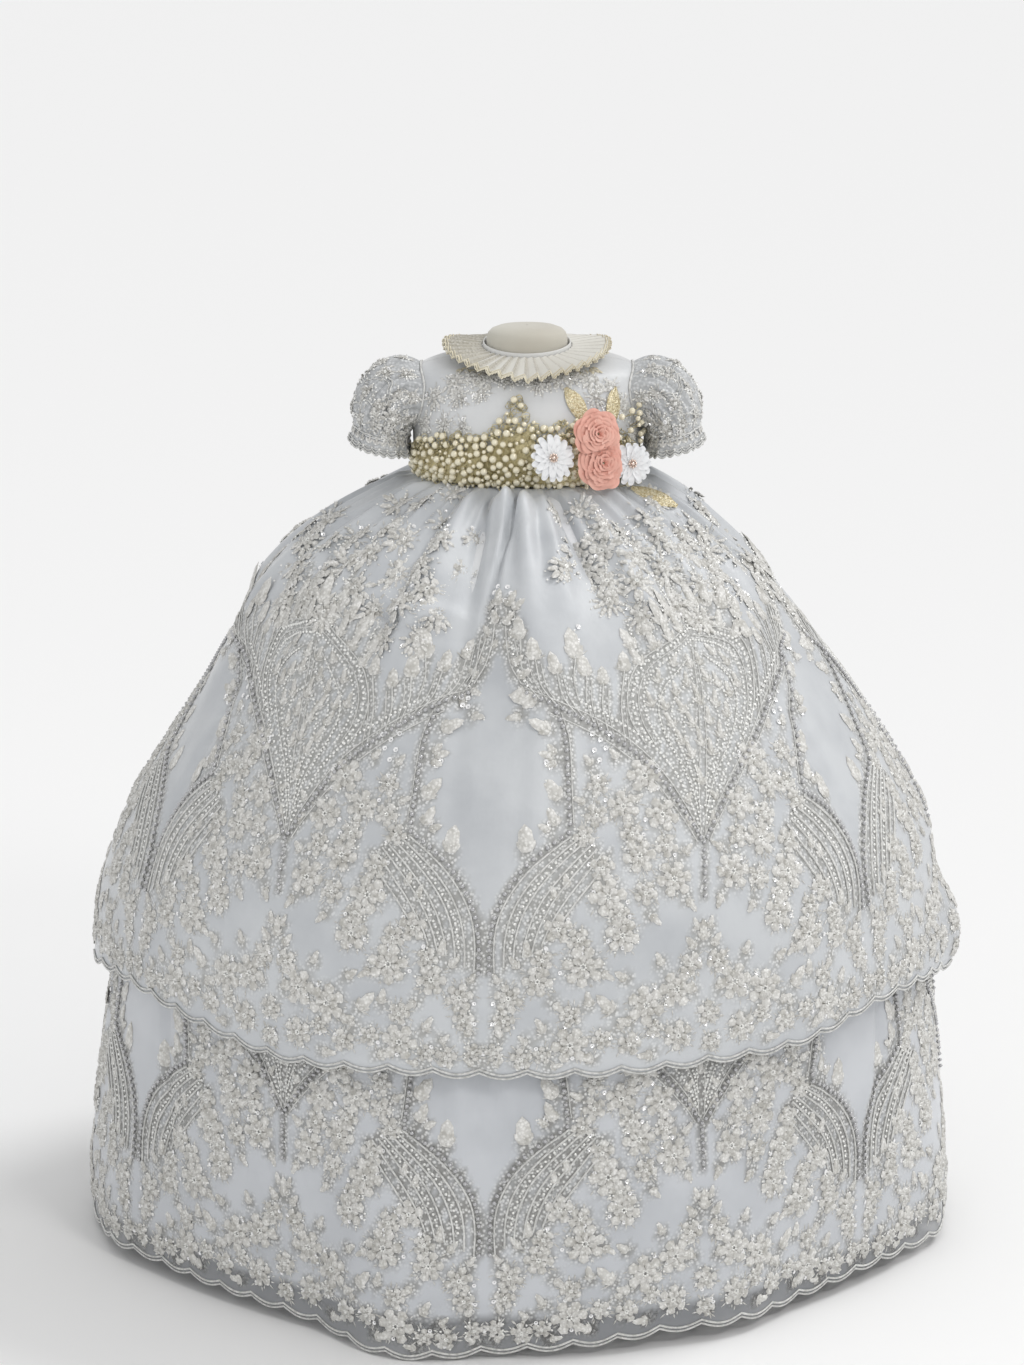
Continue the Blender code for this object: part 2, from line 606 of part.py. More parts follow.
# Dress form: a smooth torso and neck, whole and clear of the cloth
around = turns(32)
rings = []
for share in shares[::-2, 0]:
    inset = SATIN + smooth(FORM_GAP, 1, share)
    rings.append(torso(around, share + 0 * around) - torso_out(around, share + 0 * around) * inset)
neck = torso(around, 1.0 + 0 * around)
neck[:, :2] *= 1 - (BAND_WALL + 0.0026) / np.hypot(neck[:, 0], neck[:, 1])[:, None]
neck[:, 2] -= SATIN
neck_rings = []
for height, grow in ((NECK_TOP, 0.55), (NECK_TOP - 0.0020, 0.80), (NECK_TOP - 0.0060, 0.95), (NECK_TOP - 0.013, 1.0)):
    points = neck.copy()
    points[:, :2] *= grow
    points[:, 2] = height
    neck_rings.append(points)
below = []
rings.insert(0, neck)
for drop, grow in ((0.35, 0.985), (0.75, 0.94), (0.93, 0.86), (1.0, 0.72)):
    points = rings[-1].copy()
    points[:, :2] *= grow
    points[:, 2] = WAIST + (FORM_FLOOR - WAIST) * drop
    below.append(points)
turned("form_torso", (neck_rings + rings + below)[::-1], CREAM, 0.8)

# Pole and round base
for name, radius, low, high, bevel in (("form_pole", POLE_RADIUS, BASE_HEIGHT + SEAM, FORM_FLOOR - SEAM, 0.0005),
                                       ("form_base", BASE_RADIUS, 0.0, BASE_HEIGHT, 0.0030)):
    bpy.ops.mesh.primitive_cylinder_add(vertices=36 if radius > 0.05 else 16, radius=radius, depth=high - low,
                                        location=(0, 0, 0))
    thing = bpy.context.object
    thing.name = thing.data.name = name
    thing.data.transform(Matrix.Translation((0, 0, (low + high) / 2)))
    edge = thing.modifiers.new("edge", "BEVEL")
    edge.width, edge.segments, edge.limit_method = bevel, 2, "ANGLE"
    thing.data.materials.append(paint(name, (0.75, 0.73, 0.70), 0.5))
    for collection in list(thing.users_collection):
        collection.objects.unlink(thing)
    GOWN.objects.link(thing)
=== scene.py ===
import math

import bpy
import numpy as np
from mathutils import Matrix, Vector


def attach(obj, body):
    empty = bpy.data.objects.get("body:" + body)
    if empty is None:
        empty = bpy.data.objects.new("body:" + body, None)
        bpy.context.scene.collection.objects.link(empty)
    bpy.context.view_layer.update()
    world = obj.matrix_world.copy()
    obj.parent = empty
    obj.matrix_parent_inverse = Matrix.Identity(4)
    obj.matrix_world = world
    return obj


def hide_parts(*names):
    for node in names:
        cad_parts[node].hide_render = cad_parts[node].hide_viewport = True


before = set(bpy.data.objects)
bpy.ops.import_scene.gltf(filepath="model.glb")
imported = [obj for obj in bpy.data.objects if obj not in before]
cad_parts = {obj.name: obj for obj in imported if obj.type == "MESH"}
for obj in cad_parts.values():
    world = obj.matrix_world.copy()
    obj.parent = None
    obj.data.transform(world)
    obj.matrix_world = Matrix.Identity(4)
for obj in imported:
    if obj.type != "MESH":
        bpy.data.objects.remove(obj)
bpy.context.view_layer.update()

# Dress form: a smooth torso and neck covered in cream jersey, on a steel pole with a round foot.
# The gown is buttoned round it; only the neck shows above the collar.
WAIST = 0.7450
SEAM = 0.0003
SATIN = 0.0020

# Bodice sections, waist to neck: share of the way up, height, half width, half depth
TORSO = [
    (0.00, WAIST + SEAM, 0.1050, 0.0850),
    (0.25, 0.7750, 0.1090, 0.0890),
    (0.45, 0.8020, 0.1090, 0.0870),
    (0.62, 0.8310, 0.1080, 0.0750),
    (0.77, 0.8480, 0.1020, 0.0610),
    (0.89, 0.8550, 0.0780, 0.0500),
    (1.00, 0.8585, 0.0430, 0.0410),
]
NECK_SLOPE = 0.15
# How far the form stands inside the bodice: share of the way up, gap
FORM_GAP = [(0.00, 0.0026), (0.50, 0.0024), (0.80, 0.0022), (0.90, 0.0009), (1.00, 0.0008)]
NECK_TOP, FORM_FLOOR = 0.8860, 0.6300


def smooth(table, k, at):
    x = np.array([row[0] for row in table])
    y = np.array([row[k] for row in table])
    slope = np.gradient(y, x)
    i = np.clip(np.searchsorted(x, at, side="right") - 1, 0, len(x) - 2)
    step = x[i + 1] - x[i]
    t = np.clip((at - x[i]) / step, 0.0, 1.0)
    return ((2 * t**3 - 3 * t**2 + 1) * y[i] + (t**3 - 2 * t**2 + t) * step * slope[i]
            + (3 * t**2 - 2 * t**3) * y[i + 1] + (t**3 - t**2) * step * slope[i + 1])


def oval(turn, left, right, front, back):
    across = np.where(np.sin(turn) > 0, right, left)
    along = np.where(np.cos(turn) > 0, front, back)
    return 1.0 / np.sqrt((np.sin(turn) / across) ** 2 + (np.cos(turn) / along) ** 2)


def ring(turn, reach, height):
    level = height + 0 * turn * reach
    return np.stack([reach * np.sin(turn), -reach * np.cos(turn), level], axis=-1)


def turns(count):
    """Even steps once round, starting at the front."""
    return np.arange(count) * 2 * math.pi / count


def bump(x):
    return np.cos(np.clip(np.abs(x), 0, 1) * math.pi / 2) ** 2


def torso(turn, share):
    wide, deep = smooth(TORSO, 2, share), smooth(TORSO, 3, share)
    points = ring(turn, oval(turn, wide, wide, deep, deep), smooth(TORSO, 1, share))
    points[..., 2] += NECK_SLOPE * points[..., 1] * share**2
    return points


def lie(surface, turn, level, tiny=0.0008):
    """Points of a surface with its unit directions across, up and out."""
    at = surface(turn, level)
    across = surface(turn + tiny, level) - surface(turn - tiny, level)
    across = across / np.linalg.norm(across, axis=-1, keepdims=True)
    out = np.cross(across, surface(turn, level + tiny) - surface(turn, level - tiny))
    out = out / np.linalg.norm(out, axis=-1, keepdims=True)
    return at, across, np.cross(out, across), out


def piece(name, points, faces, look, smooth_faces=True):
    mesh = bpy.data.meshes.new(name)
    mesh.from_pydata(np.asarray(points).reshape(-1, 3).tolist(), [], faces)
    mesh.polygons.foreach_set("use_smooth", [smooth_faces] * len(mesh.polygons))
    mesh.materials.append(look)
    thing = bpy.data.objects.new(name, mesh)
    bpy.context.scene.collection.objects.link(thing)
    return thing


def quads(rows, cols, closed):
    r, c = np.meshgrid(np.arange(rows - 1), np.arange(cols if closed else cols - 1), indexing="ij")
    a, b = r * cols + c, r * cols + (c + 1) % cols
    return np.stack([a, b, b + cols, a + cols], axis=-1).reshape(-1, 4).tolist()


def shader(name, colour, roughness, **sockets):
    look = bpy.data.materials.new(name)
    look.use_nodes = True
    bsdf = look.node_tree.nodes["Principled BSDF"]
    bsdf.inputs["Base Color"].default_value = (*colour, 1)
    bsdf.inputs["Roughness"].default_value = roughness
    for key, value in sockets.items():
        bsdf.inputs[key.replace("_", " ").title() if key != "ior" else "IOR"].default_value = value
    return look


def add(look, kind, **values):
    node = look.node_tree.nodes.new(kind)
    for key, value in values.items():
        if key in node.inputs:
            node.inputs[key].default_value = value
        else:
            setattr(node, key, value)
    return node


def woven(look, colour, shade, thread, depth, crinkle=0.0, crinkle_size=0.02, patch=14.0):
    """A cloth finish: colour clouds, over-and-under threads and a soft crinkle, all in metres."""
    tree = look.node_tree
    link = tree.links.new
    bsdf = tree.nodes["Principled BSDF"]
    place = add(look, "ShaderNodeTexCoord").outputs["Object"]
    clouds = add(look, "ShaderNodeTexNoise", Scale=patch, Detail=4.0)
    mix = add(look, "ShaderNodeMix", data_type="RGBA")
    mix.inputs["A"].default_value, mix.inputs["B"].default_value = (*colour, 1), (*shade, 1)
    link(place, clouds.inputs["Vector"])
    spread = add(look, "ShaderNodeMapRange", **{"From Min": 0.38, "From Max": 0.68})
    link(clouds.outputs["Fac"], spread.inputs["Value"])
    link(spread.outputs["Result"], mix.inputs["Factor"])
    link(mix.outputs["Result"], bsdf.inputs["Base Color"])
    warp = add(look, "ShaderNodeTexWave", Scale=1 / thread / 2, bands_direction="Z")
    weft = add(look, "ShaderNodeTexWave", Scale=1 / thread / 2, bands_direction="X")
    for wave in (warp, weft):
        link(place, wave.inputs["Vector"])
    both = add(look, "ShaderNodeMath", operation="MULTIPLY")
    link(warp.outputs["Fac"], both.inputs[0])
    link(weft.outputs["Fac"], both.inputs[1])
    threads = add(look, "ShaderNodeBump", Distance=depth, Strength=0.35)
    link(both.outputs["Value"], threads.inputs["Height"])
    last = threads
    if crinkle:
        soft = add(look, "ShaderNodeTexNoise", Scale=1 / crinkle_size, Detail=3.0)
        link(place, soft.inputs["Vector"])
        last = add(look, "ShaderNodeBump", Distance=crinkle, Strength=1.0)
        link(soft.outputs["Fac"], last.inputs["Height"])
        link(threads.outputs["Normal"], last.inputs["Normal"])
    link(last.outputs["Normal"], bsdf.inputs["Normal"])
    return look


jersey = woven(shader("cream_jersey", (0.56, 0.54, 0.47), 0.85, sheen_weight=0.3),
               (0.58, 0.56, 0.49), (0.53, 0.50, 0.43), 0.0009, 0.0003)
around = turns(96)
rings = []
for share in np.linspace(1.0, 0.0, 28):
    at, _, _, out = lie(torso, around, np.clip(share + 0 * around, 0.001, 0.999))
    rings.append(at - out * (SATIN + smooth(FORM_GAP, 1, share)))
neck = torso(around, 1.0 + 0 * around)
neck[:, :2] *= 1 - 0.0044 / np.hypot(neck[:, 0], neck[:, 1])[:, None]
neck[:, 2] -= SATIN
top = []
for height, grow in ((NECK_TOP, 0.02), (NECK_TOP, 0.50), (NECK_TOP - 0.001, 0.70), (NECK_TOP - 0.0035, 0.87),
                     (NECK_TOP - 0.0070, 0.96), (NECK_TOP - 0.0120, 1.0), (NECK_TOP - 0.0180, 1.0)):
    top.append(neck * np.array([grow, grow, 0]) + np.array([0, 0, height]))
low = []
for drop, grow in ((0.2, 0.995), (0.35, 0.985), (0.55, 0.965), (0.75, 0.94), (0.86, 0.90), (0.93, 0.86), (0.97, 0.80),
                   (1.0, 0.72), (1.0, 0.4), (1.0, 0.02)):
    low.append(rings[-1] * np.array([grow, grow, 0]) + np.array([0, 0, WAIST + (FORM_FLOOR - WAIST) * drop]))
body = np.array((top + [neck] + rings[1:] + low)[::-1])
form = piece("form_torso_jersey", body, quads(len(body), 96, True), jersey)
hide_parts("form_torso")
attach(form, "root")

steel = shader("satin_steel", (0.62, 0.61, 0.60), 0.32, metallic=1.0)
for name, node, radius, low_end, high_end, bevel in (
        ("form_pole_steel", "form_pole", 0.0125, 0.0183, 0.6297, 0.0006),
        ("form_base_steel", "form_base", 0.1500, 0.0, 0.0180, 0.0030)):
    bpy.ops.mesh.primitive_cylinder_add(vertices=96, radius=radius, depth=high_end - low_end)
    thing = bpy.context.object
    thing.name = thing.data.name = name
    thing.data.transform(Matrix.Translation((0, 0, (low_end + high_end) / 2)))
    edge = thing.modifiers.new("edge", "BEVEL")
    edge.width, edge.segments, edge.limit_method = bevel, 4, "ANGLE"
    bpy.ops.object.shade_smooth_by_angle(angle=math.radians(40))
    thing.data.materials.append(steel)
    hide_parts(node)
    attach(thing, "root")

# Lining skirt: plain white satin, sewn into the waist seam and hanging inside both tiers.
# It carries the lower tier, and its straight hem shows through the net edge below it.
TIER_SEAM, LINING_HEM = 0.3300, 0.0400
# Upper skirt between its folds: height, reach to the left, right, front and back
UPPER = [
    (0.250, 0.4190, 0.4080, 0.4050, 0.4120),
    (0.300, 0.4170, 0.4100, 0.4070, 0.4120),
    (0.347, 0.4130, 0.4010, 0.4020, 0.4070),
    (0.420, 0.3880, 0.3860, 0.3880, 0.3880),
    (0.480, 0.3510, 0.3510, 0.3540, 0.3540),
    (0.540, 0.3120, 0.3120, 0.3160, 0.3160),
    (0.600, 0.2770, 0.2650, 0.2740, 0.2740),
    (0.650, 0.2470, 0.2230, 0.2350, 0.2350),
    (0.687, 0.2080, 0.1830, 0.1950, 0.1950),
    (0.717, 0.1600, 0.1480, 0.1500, 0.1500),
    (0.735, 0.1240, 0.1200, 0.1130, 0.1130),
    (WAIST - SEAM, 0.1050, 0.1050, 0.0850, 0.0850),
]
# Lower tier: height, reach to the left, right, front and back
LOWER = [
    (0.000, 0.4300, 0.4140, 0.3980, 0.4150),
    (0.035, 0.4320, 0.4160, 0.4000, 0.4170),
    (0.110, 0.4270, 0.4120, 0.4000, 0.4150),
    (0.220, 0.4120, 0.4000, 0.3920, 0.4030),
    (0.300, 0.4010, 0.3910, 0.3850, 0.3950),
    (0.340, 0.3970, 0.3880, 0.3820, 0.3920),
]
# Hem edges: turn from the front in degrees, height of the upper hem, height of the lower hem
HEMS = [
    (-180, 0.2700, 0.0065), (-120, 0.2720, 0.0090), (-89, 0.2700, 0.0070), (-65, 0.2850, 0.0160),
    (-50, 0.2770, 0.0150), (-36, 0.2670, 0.0130), (-16, 0.2710, 0.0045), (2, 0.2730, 0.0100), (20, 0.2730, 0.0160),
    (40, 0.2750, 0.0140), (57, 0.2870, 0.0170), (72, 0.2800, 0.0120), (90, 0.2560, 0.0070), (120, 0.2700, 0.0080),
    (180, 0.2700, 0.0065),
]
HEM_SQUARE, TIER_SQUARE = 0.030, 0.070
# Large folds of the lower tier: turn, half width, how far it stands out, height of its middle, half its length
TIER_FOLDS = [
    (-17, 15, 0.026, 0.000, 0.260), (30, 13, 0.012, 0.000, 0.220), (-70, 10, 0.006, 0.000, 0.200),
    (75, 10, 0.007, 0.000, 0.200), (118, 15, 0.016, 0.000, 0.240), (158, 14, 0.010, 0.000, 0.220),
    (-155, 15, 0.015, 0.000, 0.240), (-112, 13, 0.010, 0.000, 0.220),
]
# Large folds of the upper skirt, in the same columns
FOLDS = [
    (-78, 11, 0.012, 0.640, 0.150), (-52, 9, 0.011, 0.660, 0.120), (-27, 9, 0.014, 0.670, 0.130),
    (3, 12, 0.016, 0.660, 0.170), (30, 8, 0.010, 0.680, 0.110), (54, 9, 0.012, 0.650, 0.140),
    (82, 10, 0.011, 0.640, 0.130), (113, 10, 0.013, 0.660, 0.150), (141, 9, 0.010, 0.670, 0.120),
    (172, 12, 0.014, 0.650, 0.160), (-156, 9, 0.012, 0.670, 0.130), (-129, 10, 0.010, 0.650, 0.140),
    (-103, 9, 0.012, 0.660, 0.120), (-30, 16, 0.006, 0.330, 0.150), (38, 15, 0.007, 0.320, 0.140),
    (86, 7, 0.014, 0.300, 0.070), (-84, 12, 0.006, 0.290, 0.110), (128, 17, 0.007, 0.320, 0.140),
    (-140, 16, 0.007, 0.320, 0.140),
]
# Lining sections: height, how far it lies inside the tier over it
LINING_ROWS = [
    (LINING_HEM, 0.0083), (0.1600, 0.0083), (0.2900, 0.0053), (0.3300, 0.0023), (0.3305, 0.0023), (0.3720, 0.0103),
    (0.5000, 0.0103), (0.6400, 0.0083), (0.7210, 0.0058), (WAIST - SEAM, 0.0028),
]


def folds(table, turn, height):
    out = 0 * turn * height
    for at, width, depth, middle, length in table:
        away = (turn - math.radians(at) + math.pi) % (2 * math.pi) - math.pi
        out = out + depth * bump(away / math.radians(width)) * bump((height - middle) / length)
    return out


def skirt(turn, height):
    reach = oval(turn, *(smooth(UPPER, k, height) for k in (1, 2, 3, 4)))
    reach = reach * (1 - HEM_SQUARE * np.sin(2 * turn) ** 2 * bump((height - 0.25) / 0.3))
    return ring(turn, reach + folds(FOLDS, turn, height), height)


def tier(turn, height):
    reach = oval(turn, *(smooth(LOWER, k, height) for k in (1, 2, 3, 4)))
    reach = reach * (1 - np.sin(2 * turn) ** 2 * (HEM_SQUARE + (TIER_SQUARE - HEM_SQUARE) * bump(height / 0.34)))
    return ring(turn, reach + folds(TIER_FOLDS, turn, height), height)


satin_white = woven(shader("white_satin", (0.70, 0.71, 0.72), 0.38, sheen_weight=0.25),
                    (0.72, 0.73, 0.74), (0.66, 0.67, 0.69), 0.0006, 0.0002, 0.0006, 0.03)
around = turns(180)[None, :]
levels = np.concatenate([np.linspace(LINING_HEM, 0.3295, 28), np.linspace(0.3305, WAIST - SEAM, 40)])[:, None]
inset = smooth(LINING_ROWS, 1, levels + 0 * around)[..., None]
low_at, _, _, low_out = lie(tier, around + 0 * levels, levels + 0 * around)
high_at, _, _, high_out = lie(skirt, around + 0 * levels, levels + 0 * around)
high_part = (levels > TIER_SEAM)[..., None]
lining = piece("lining_skirt_satin", np.where(high_part, high_at - high_out * inset, low_at - low_out * inset),
               quads(len(levels), 180, True), satin_white)
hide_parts("lining_skirt")
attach(lining, "root")

# Lower tier: sheer organza under beaded lace, sewn to the lining behind the upper hem.
# Its last 3 cm hang below the lining as bare net, edged with a doubled satin cord in scallops.
SCALLOPS, SCALLOP_DEPTH = 60, 0.0055
# Creases of the lower tier: turn and height of one end, turn and height of the other, half widths, depth
TIER_CREASES = [
    (-5, 0.262, -2, 0.175, 0.010, 0.024, -0.0035), (-9, 0.262, -9, 0.130, 0.012, 0.026, 0.0030),
    (3, 0.250, 7, 0.120, 0.010, 0.022, 0.0025), (-40, 0.250, -36, 0.080, 0.014, 0.030, -0.0030),
    (24, 0.240, 21, 0.060, 0.012, 0.028, -0.0030), (44, 0.260, 47, 0.100, 0.010, 0.026, 0.0030),
    (60, 0.250, 57, 0.060, 0.012, 0.024, -0.0040), (-60, 0.250, -57, 0.070, 0.012, 0.026, -0.0040),
    (-82, 0.260, -84, 0.090, 0.012, 0.024, 0.0030), (86, 0.250, 88, 0.070, 0.012, 0.026, -0.0035),
    (101, 0.260, 98, 0.100, 0.010, 0.024, 0.0030), (116, 0.250, 120, 0.090, 0.012, 0.030, -0.0035),
    (139, 0.260, 136, 0.110, 0.012, 0.024, 0.0030), (157, 0.250, 160, 0.070, 0.012, 0.028, -0.0040),
    (177, 0.260, 174, 0.120, 0.010, 0.022, 0.0030), (-166, 0.250, -169, 0.080, 0.012, 0.026, -0.0035),
    (-146, 0.260, -143, 0.100, 0.012, 0.028, 0.0030), (-127, 0.250, -130, 0.070, 0.012, 0.026, -0.0040),
    (-106, 0.260, -103, 0.110, 0.010, 0.024, 0.0025),
]


def creases(table, turn, height, reach):
    """Soft troughs and ridges between two ends on a surface of about the given reach."""
    out = 0 * turn * height
    for t0, h0, t1, h1, w0, w1, depth in table:
        away = (turn - math.radians(t0) + math.pi) % (2 * math.pi) - math.pi
        x, y = away * reach, height - h0
        dx, dy = math.radians(t1 - t0) * np.mean(reach), h1 - h0
        long = math.hypot(dx, dy)
        along = (x * dx + y * dy) / long
        across = (x * dy - y * dx) / long
        share = np.clip(along / long, 0, 1)
        wide = w0 + (w1 - w0) * share
        past = np.maximum(np.maximum(-along, along - long), 0)
        out = out + depth * bump(across / wide) * bump(past / (0.35 * long)) * (0.75 + 0.25 * np.cos(math.pi * share))
    return out


def hem_height(k, turn):
    return smooth(HEMS, k, (np.degrees(turn) + 180) % 360 - 180)


def scallop(turn):
    return SCALLOP_DEPTH * (0.5 - np.abs(np.sin(turn * SCALLOPS / 2)))


def lower_cloth(turn, height):
    at, _, _, out = lie(tier, turn, height)
    return at + out * creases(TIER_CREASES, turn, height, 0.41 + 0 * height)[..., None]


def tint(look, attribute, gap, bead_and_highlight_colour, amount, scale=300.0):
    """Covers a cloth with close beading, all over or where a piece's attribute is high: pale bead tops with a painted
    highlight, painted shade in the dark gaps between them.
    """
    tree = look.node_tree
    link = tree.links.new
    bsdf = tree.nodes["Principled BSDF"]
    place = add(look, "ShaderNodeTexCoord").outputs["Object"]
    tops = add(look, "ShaderNodeTexVoronoi", Scale=scale)
    link(place, tops.inputs["Vector"])
    top = add(look, "ShaderNodeMapRange", **{"From Min": 0.18, "From Max": 0.60, "To Min": 1.0, "To Max": 0.0})
    link(tops.outputs["Distance"], top.inputs["Value"])
    # Each dot runs from the bead's own pale colour with a painted highlight at its top to painted shade in the gap
    beading = add(look, "ShaderNodeMix", data_type="RGBA")
    beading.inputs["A"].default_value, beading.inputs["B"].default_value = (*gap, 1), (*bead_and_highlight_colour, 1)
    link(top.outputs["Result"], beading.inputs["Factor"])
    much = add(look, "ShaderNodeMath", operation="MULTIPLY")
    much.inputs[0].default_value, much.inputs[1].default_value = 1.0, amount
    if attribute:
        link(add(look, "ShaderNodeAttribute", attribute_name=attribute).outputs["Fac"], much.inputs[0])
    mix = add(look, "ShaderNodeMix", data_type="RGBA")
    link(bsdf.inputs["Base Color"].links[0].from_socket, mix.inputs["A"])
    link(beading.outputs["Result"], mix.inputs["B"])
    link(much.outputs["Value"], mix.inputs["Factor"])
    link(mix.outputs["Result"], bsdf.inputs["Base Color"])
    raised = add(look, "ShaderNodeBump", Distance=0.0010, Strength=1.0)
    height = add(look, "ShaderNodeMath", operation="MULTIPLY")
    link(top.outputs["Result"], height.inputs[0])
    link(much.outputs["Value"], height.inputs[1])
    link(height.outputs["Value"], raised.inputs["Height"])
    link(bsdf.inputs["Normal"].links[0].from_socket, raised.inputs["Normal"])
    link(raised.outputs["Normal"], bsdf.inputs["Normal"])
    return look


organza = woven(shader("white_organza", (0.56, 0.58, 0.60), 0.28, sheen_weight=0.2, sheen_roughness=0.4),
                (0.59, 0.61, 0.63), (0.49, 0.51, 0.535), 0.0007, 0.0002, 0.0011, 0.03)
# Over the lace: pale bead tops with painted highlights and painted shade in the gaps between them
tint(organza, "lace", (0.33, 0.325, 0.305), (0.95, 0.95, 0.93), 0.80)
net = woven(shader("lace_net", (0.57, 0.59, 0.62), 0.38, sheen_weight=0.2), (0.59, 0.61, 0.64), (0.51, 0.53, 0.56),
            0.0007, 0.0003)
# The same on the net: painted bead highlights and painted shade between the beads
tint(net, "lace", (0.24, 0.235, 0.22), (0.88, 0.88, 0.86), 0.88)
# Below the lining only the net is left, so it lets the dark inside of the gown show through
see = add(net, "ShaderNodeMapRange", **{"From Min": 0.036, "From Max": 0.046, "To Min": 0.42, "To Max": 1.0})
level = add(net, "ShaderNodeSeparateXYZ")
net.node_tree.links.new(add(net, "ShaderNodeTexCoord").outputs["Object"], level.inputs["Vector"])
net.node_tree.links.new(level.outputs["Z"], see.inputs["Value"])
net.node_tree.links.new(see.outputs["Result"], net.node_tree.nodes["Principled BSDF"].inputs["Alpha"])

around = turns(480)[None, :]
hem = hem_height(2, around) + scallop(around)
shares = np.linspace(0, 1, 48)[:, None]
lower_levels = hem + (TIER_SEAM - hem) * shares
lower_grid = around + 0 * lower_levels
lower = piece("lower_skirt_organza", lower_cloth(lower_grid, lower_levels), quads(48, 480, True), net)
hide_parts("lower_skirt")
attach(lower, "root")


def cord_line(points, closed, radius, sides=5):
    """Vertices and faces of a thread laid along points."""
    points = np.asarray(points)
    along = np.roll(points, -1, 0) - np.roll(points, 1, 0) if closed else np.gradient(points, axis=0)
    along = along / np.linalg.norm(along, axis=1, keepdims=True)
    side = np.cross(along, [0, 0, 1.0]) + 1e-9
    side = side / np.linalg.norm(side, axis=1, keepdims=True)
    up = np.cross(side, along)
    angle = turns(sides)
    ring_points = (points[:, None] + radius * (np.cos(angle)[None, :, None] * side[:, None]
                                               + np.sin(angle)[None, :, None] * up[:, None]))
    rows = len(points)
    faces = []
    for r in range(rows if closed else rows - 1):
        n = (r + 1) % rows
        for c in range(sides):
            d = (c + 1) % sides
            faces.append((r * sides + c, r * sides + d, n * sides + d, n * sides + c))
    return ring_points.reshape(-1, 3), faces


def joined(name, parts, look):
    points, faces, start = [], [], 0
    for some_points, some_faces in parts:
        points.append(some_points)
        faces += [tuple(start + i for i in face) for face in some_faces]
        start += len(some_points)
    return piece(name, np.concatenate(points), faces, look)


cord_white = woven(shader("satin_cord", (0.70, 0.70, 0.68), 0.32, sheen_weight=0.2), (0.78, 0.78, 0.76),
                   (0.52, 0.52, 0.50), 0.0004, 0.0002, 0.0004, 0.0030, 260.0)
# Hem cords: height above the cloth's edge, how far each stands proud of the cloth
HEM_CORDS, HEM_CORD_HALF = [(0.0, 0.0006), (0.0035, 0.0010)], 0.0011


def cord_on(cloth, turn, level, proud, half, sides=5):
    """A closed cord that follows a cloth and stands a little proud of it."""
    at, _, _, out = lie(cloth, turn, level)
    return cord_line(at + out * proud, True, half, sides)


def hem_cords(name, tier_hem, cloth):
    around = turns(SCALLOPS * 12)
    height = hem_height(tier_hem, around) + scallop(around)
    thing = joined(name, [cord_on(cloth, around, height + rise, proud, HEM_CORD_HALF, 4) for rise, proud in HEM_CORDS],
                   cord_white)
    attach(thing, "root")


hem_cords("lower_hem_cord", 2, lower_cloth)

# Upper skirt: satin and organza under the same lace, gathered into the waist seam.
# A large soft pleat opens below the middle of the belt and the rest falls in uneven folds.
GATHERS, GATHER_DEPTH, GATHER_REACH = 40, 0.0030, 0.060
WAIST_DEEPER = 0.45
# Puff of cloth in front of the belt: turn in degrees, spread to its left and right, height, half length, rise
PUFF = (-12, 8, 25, 0.7275, 0.0145, 0.018)
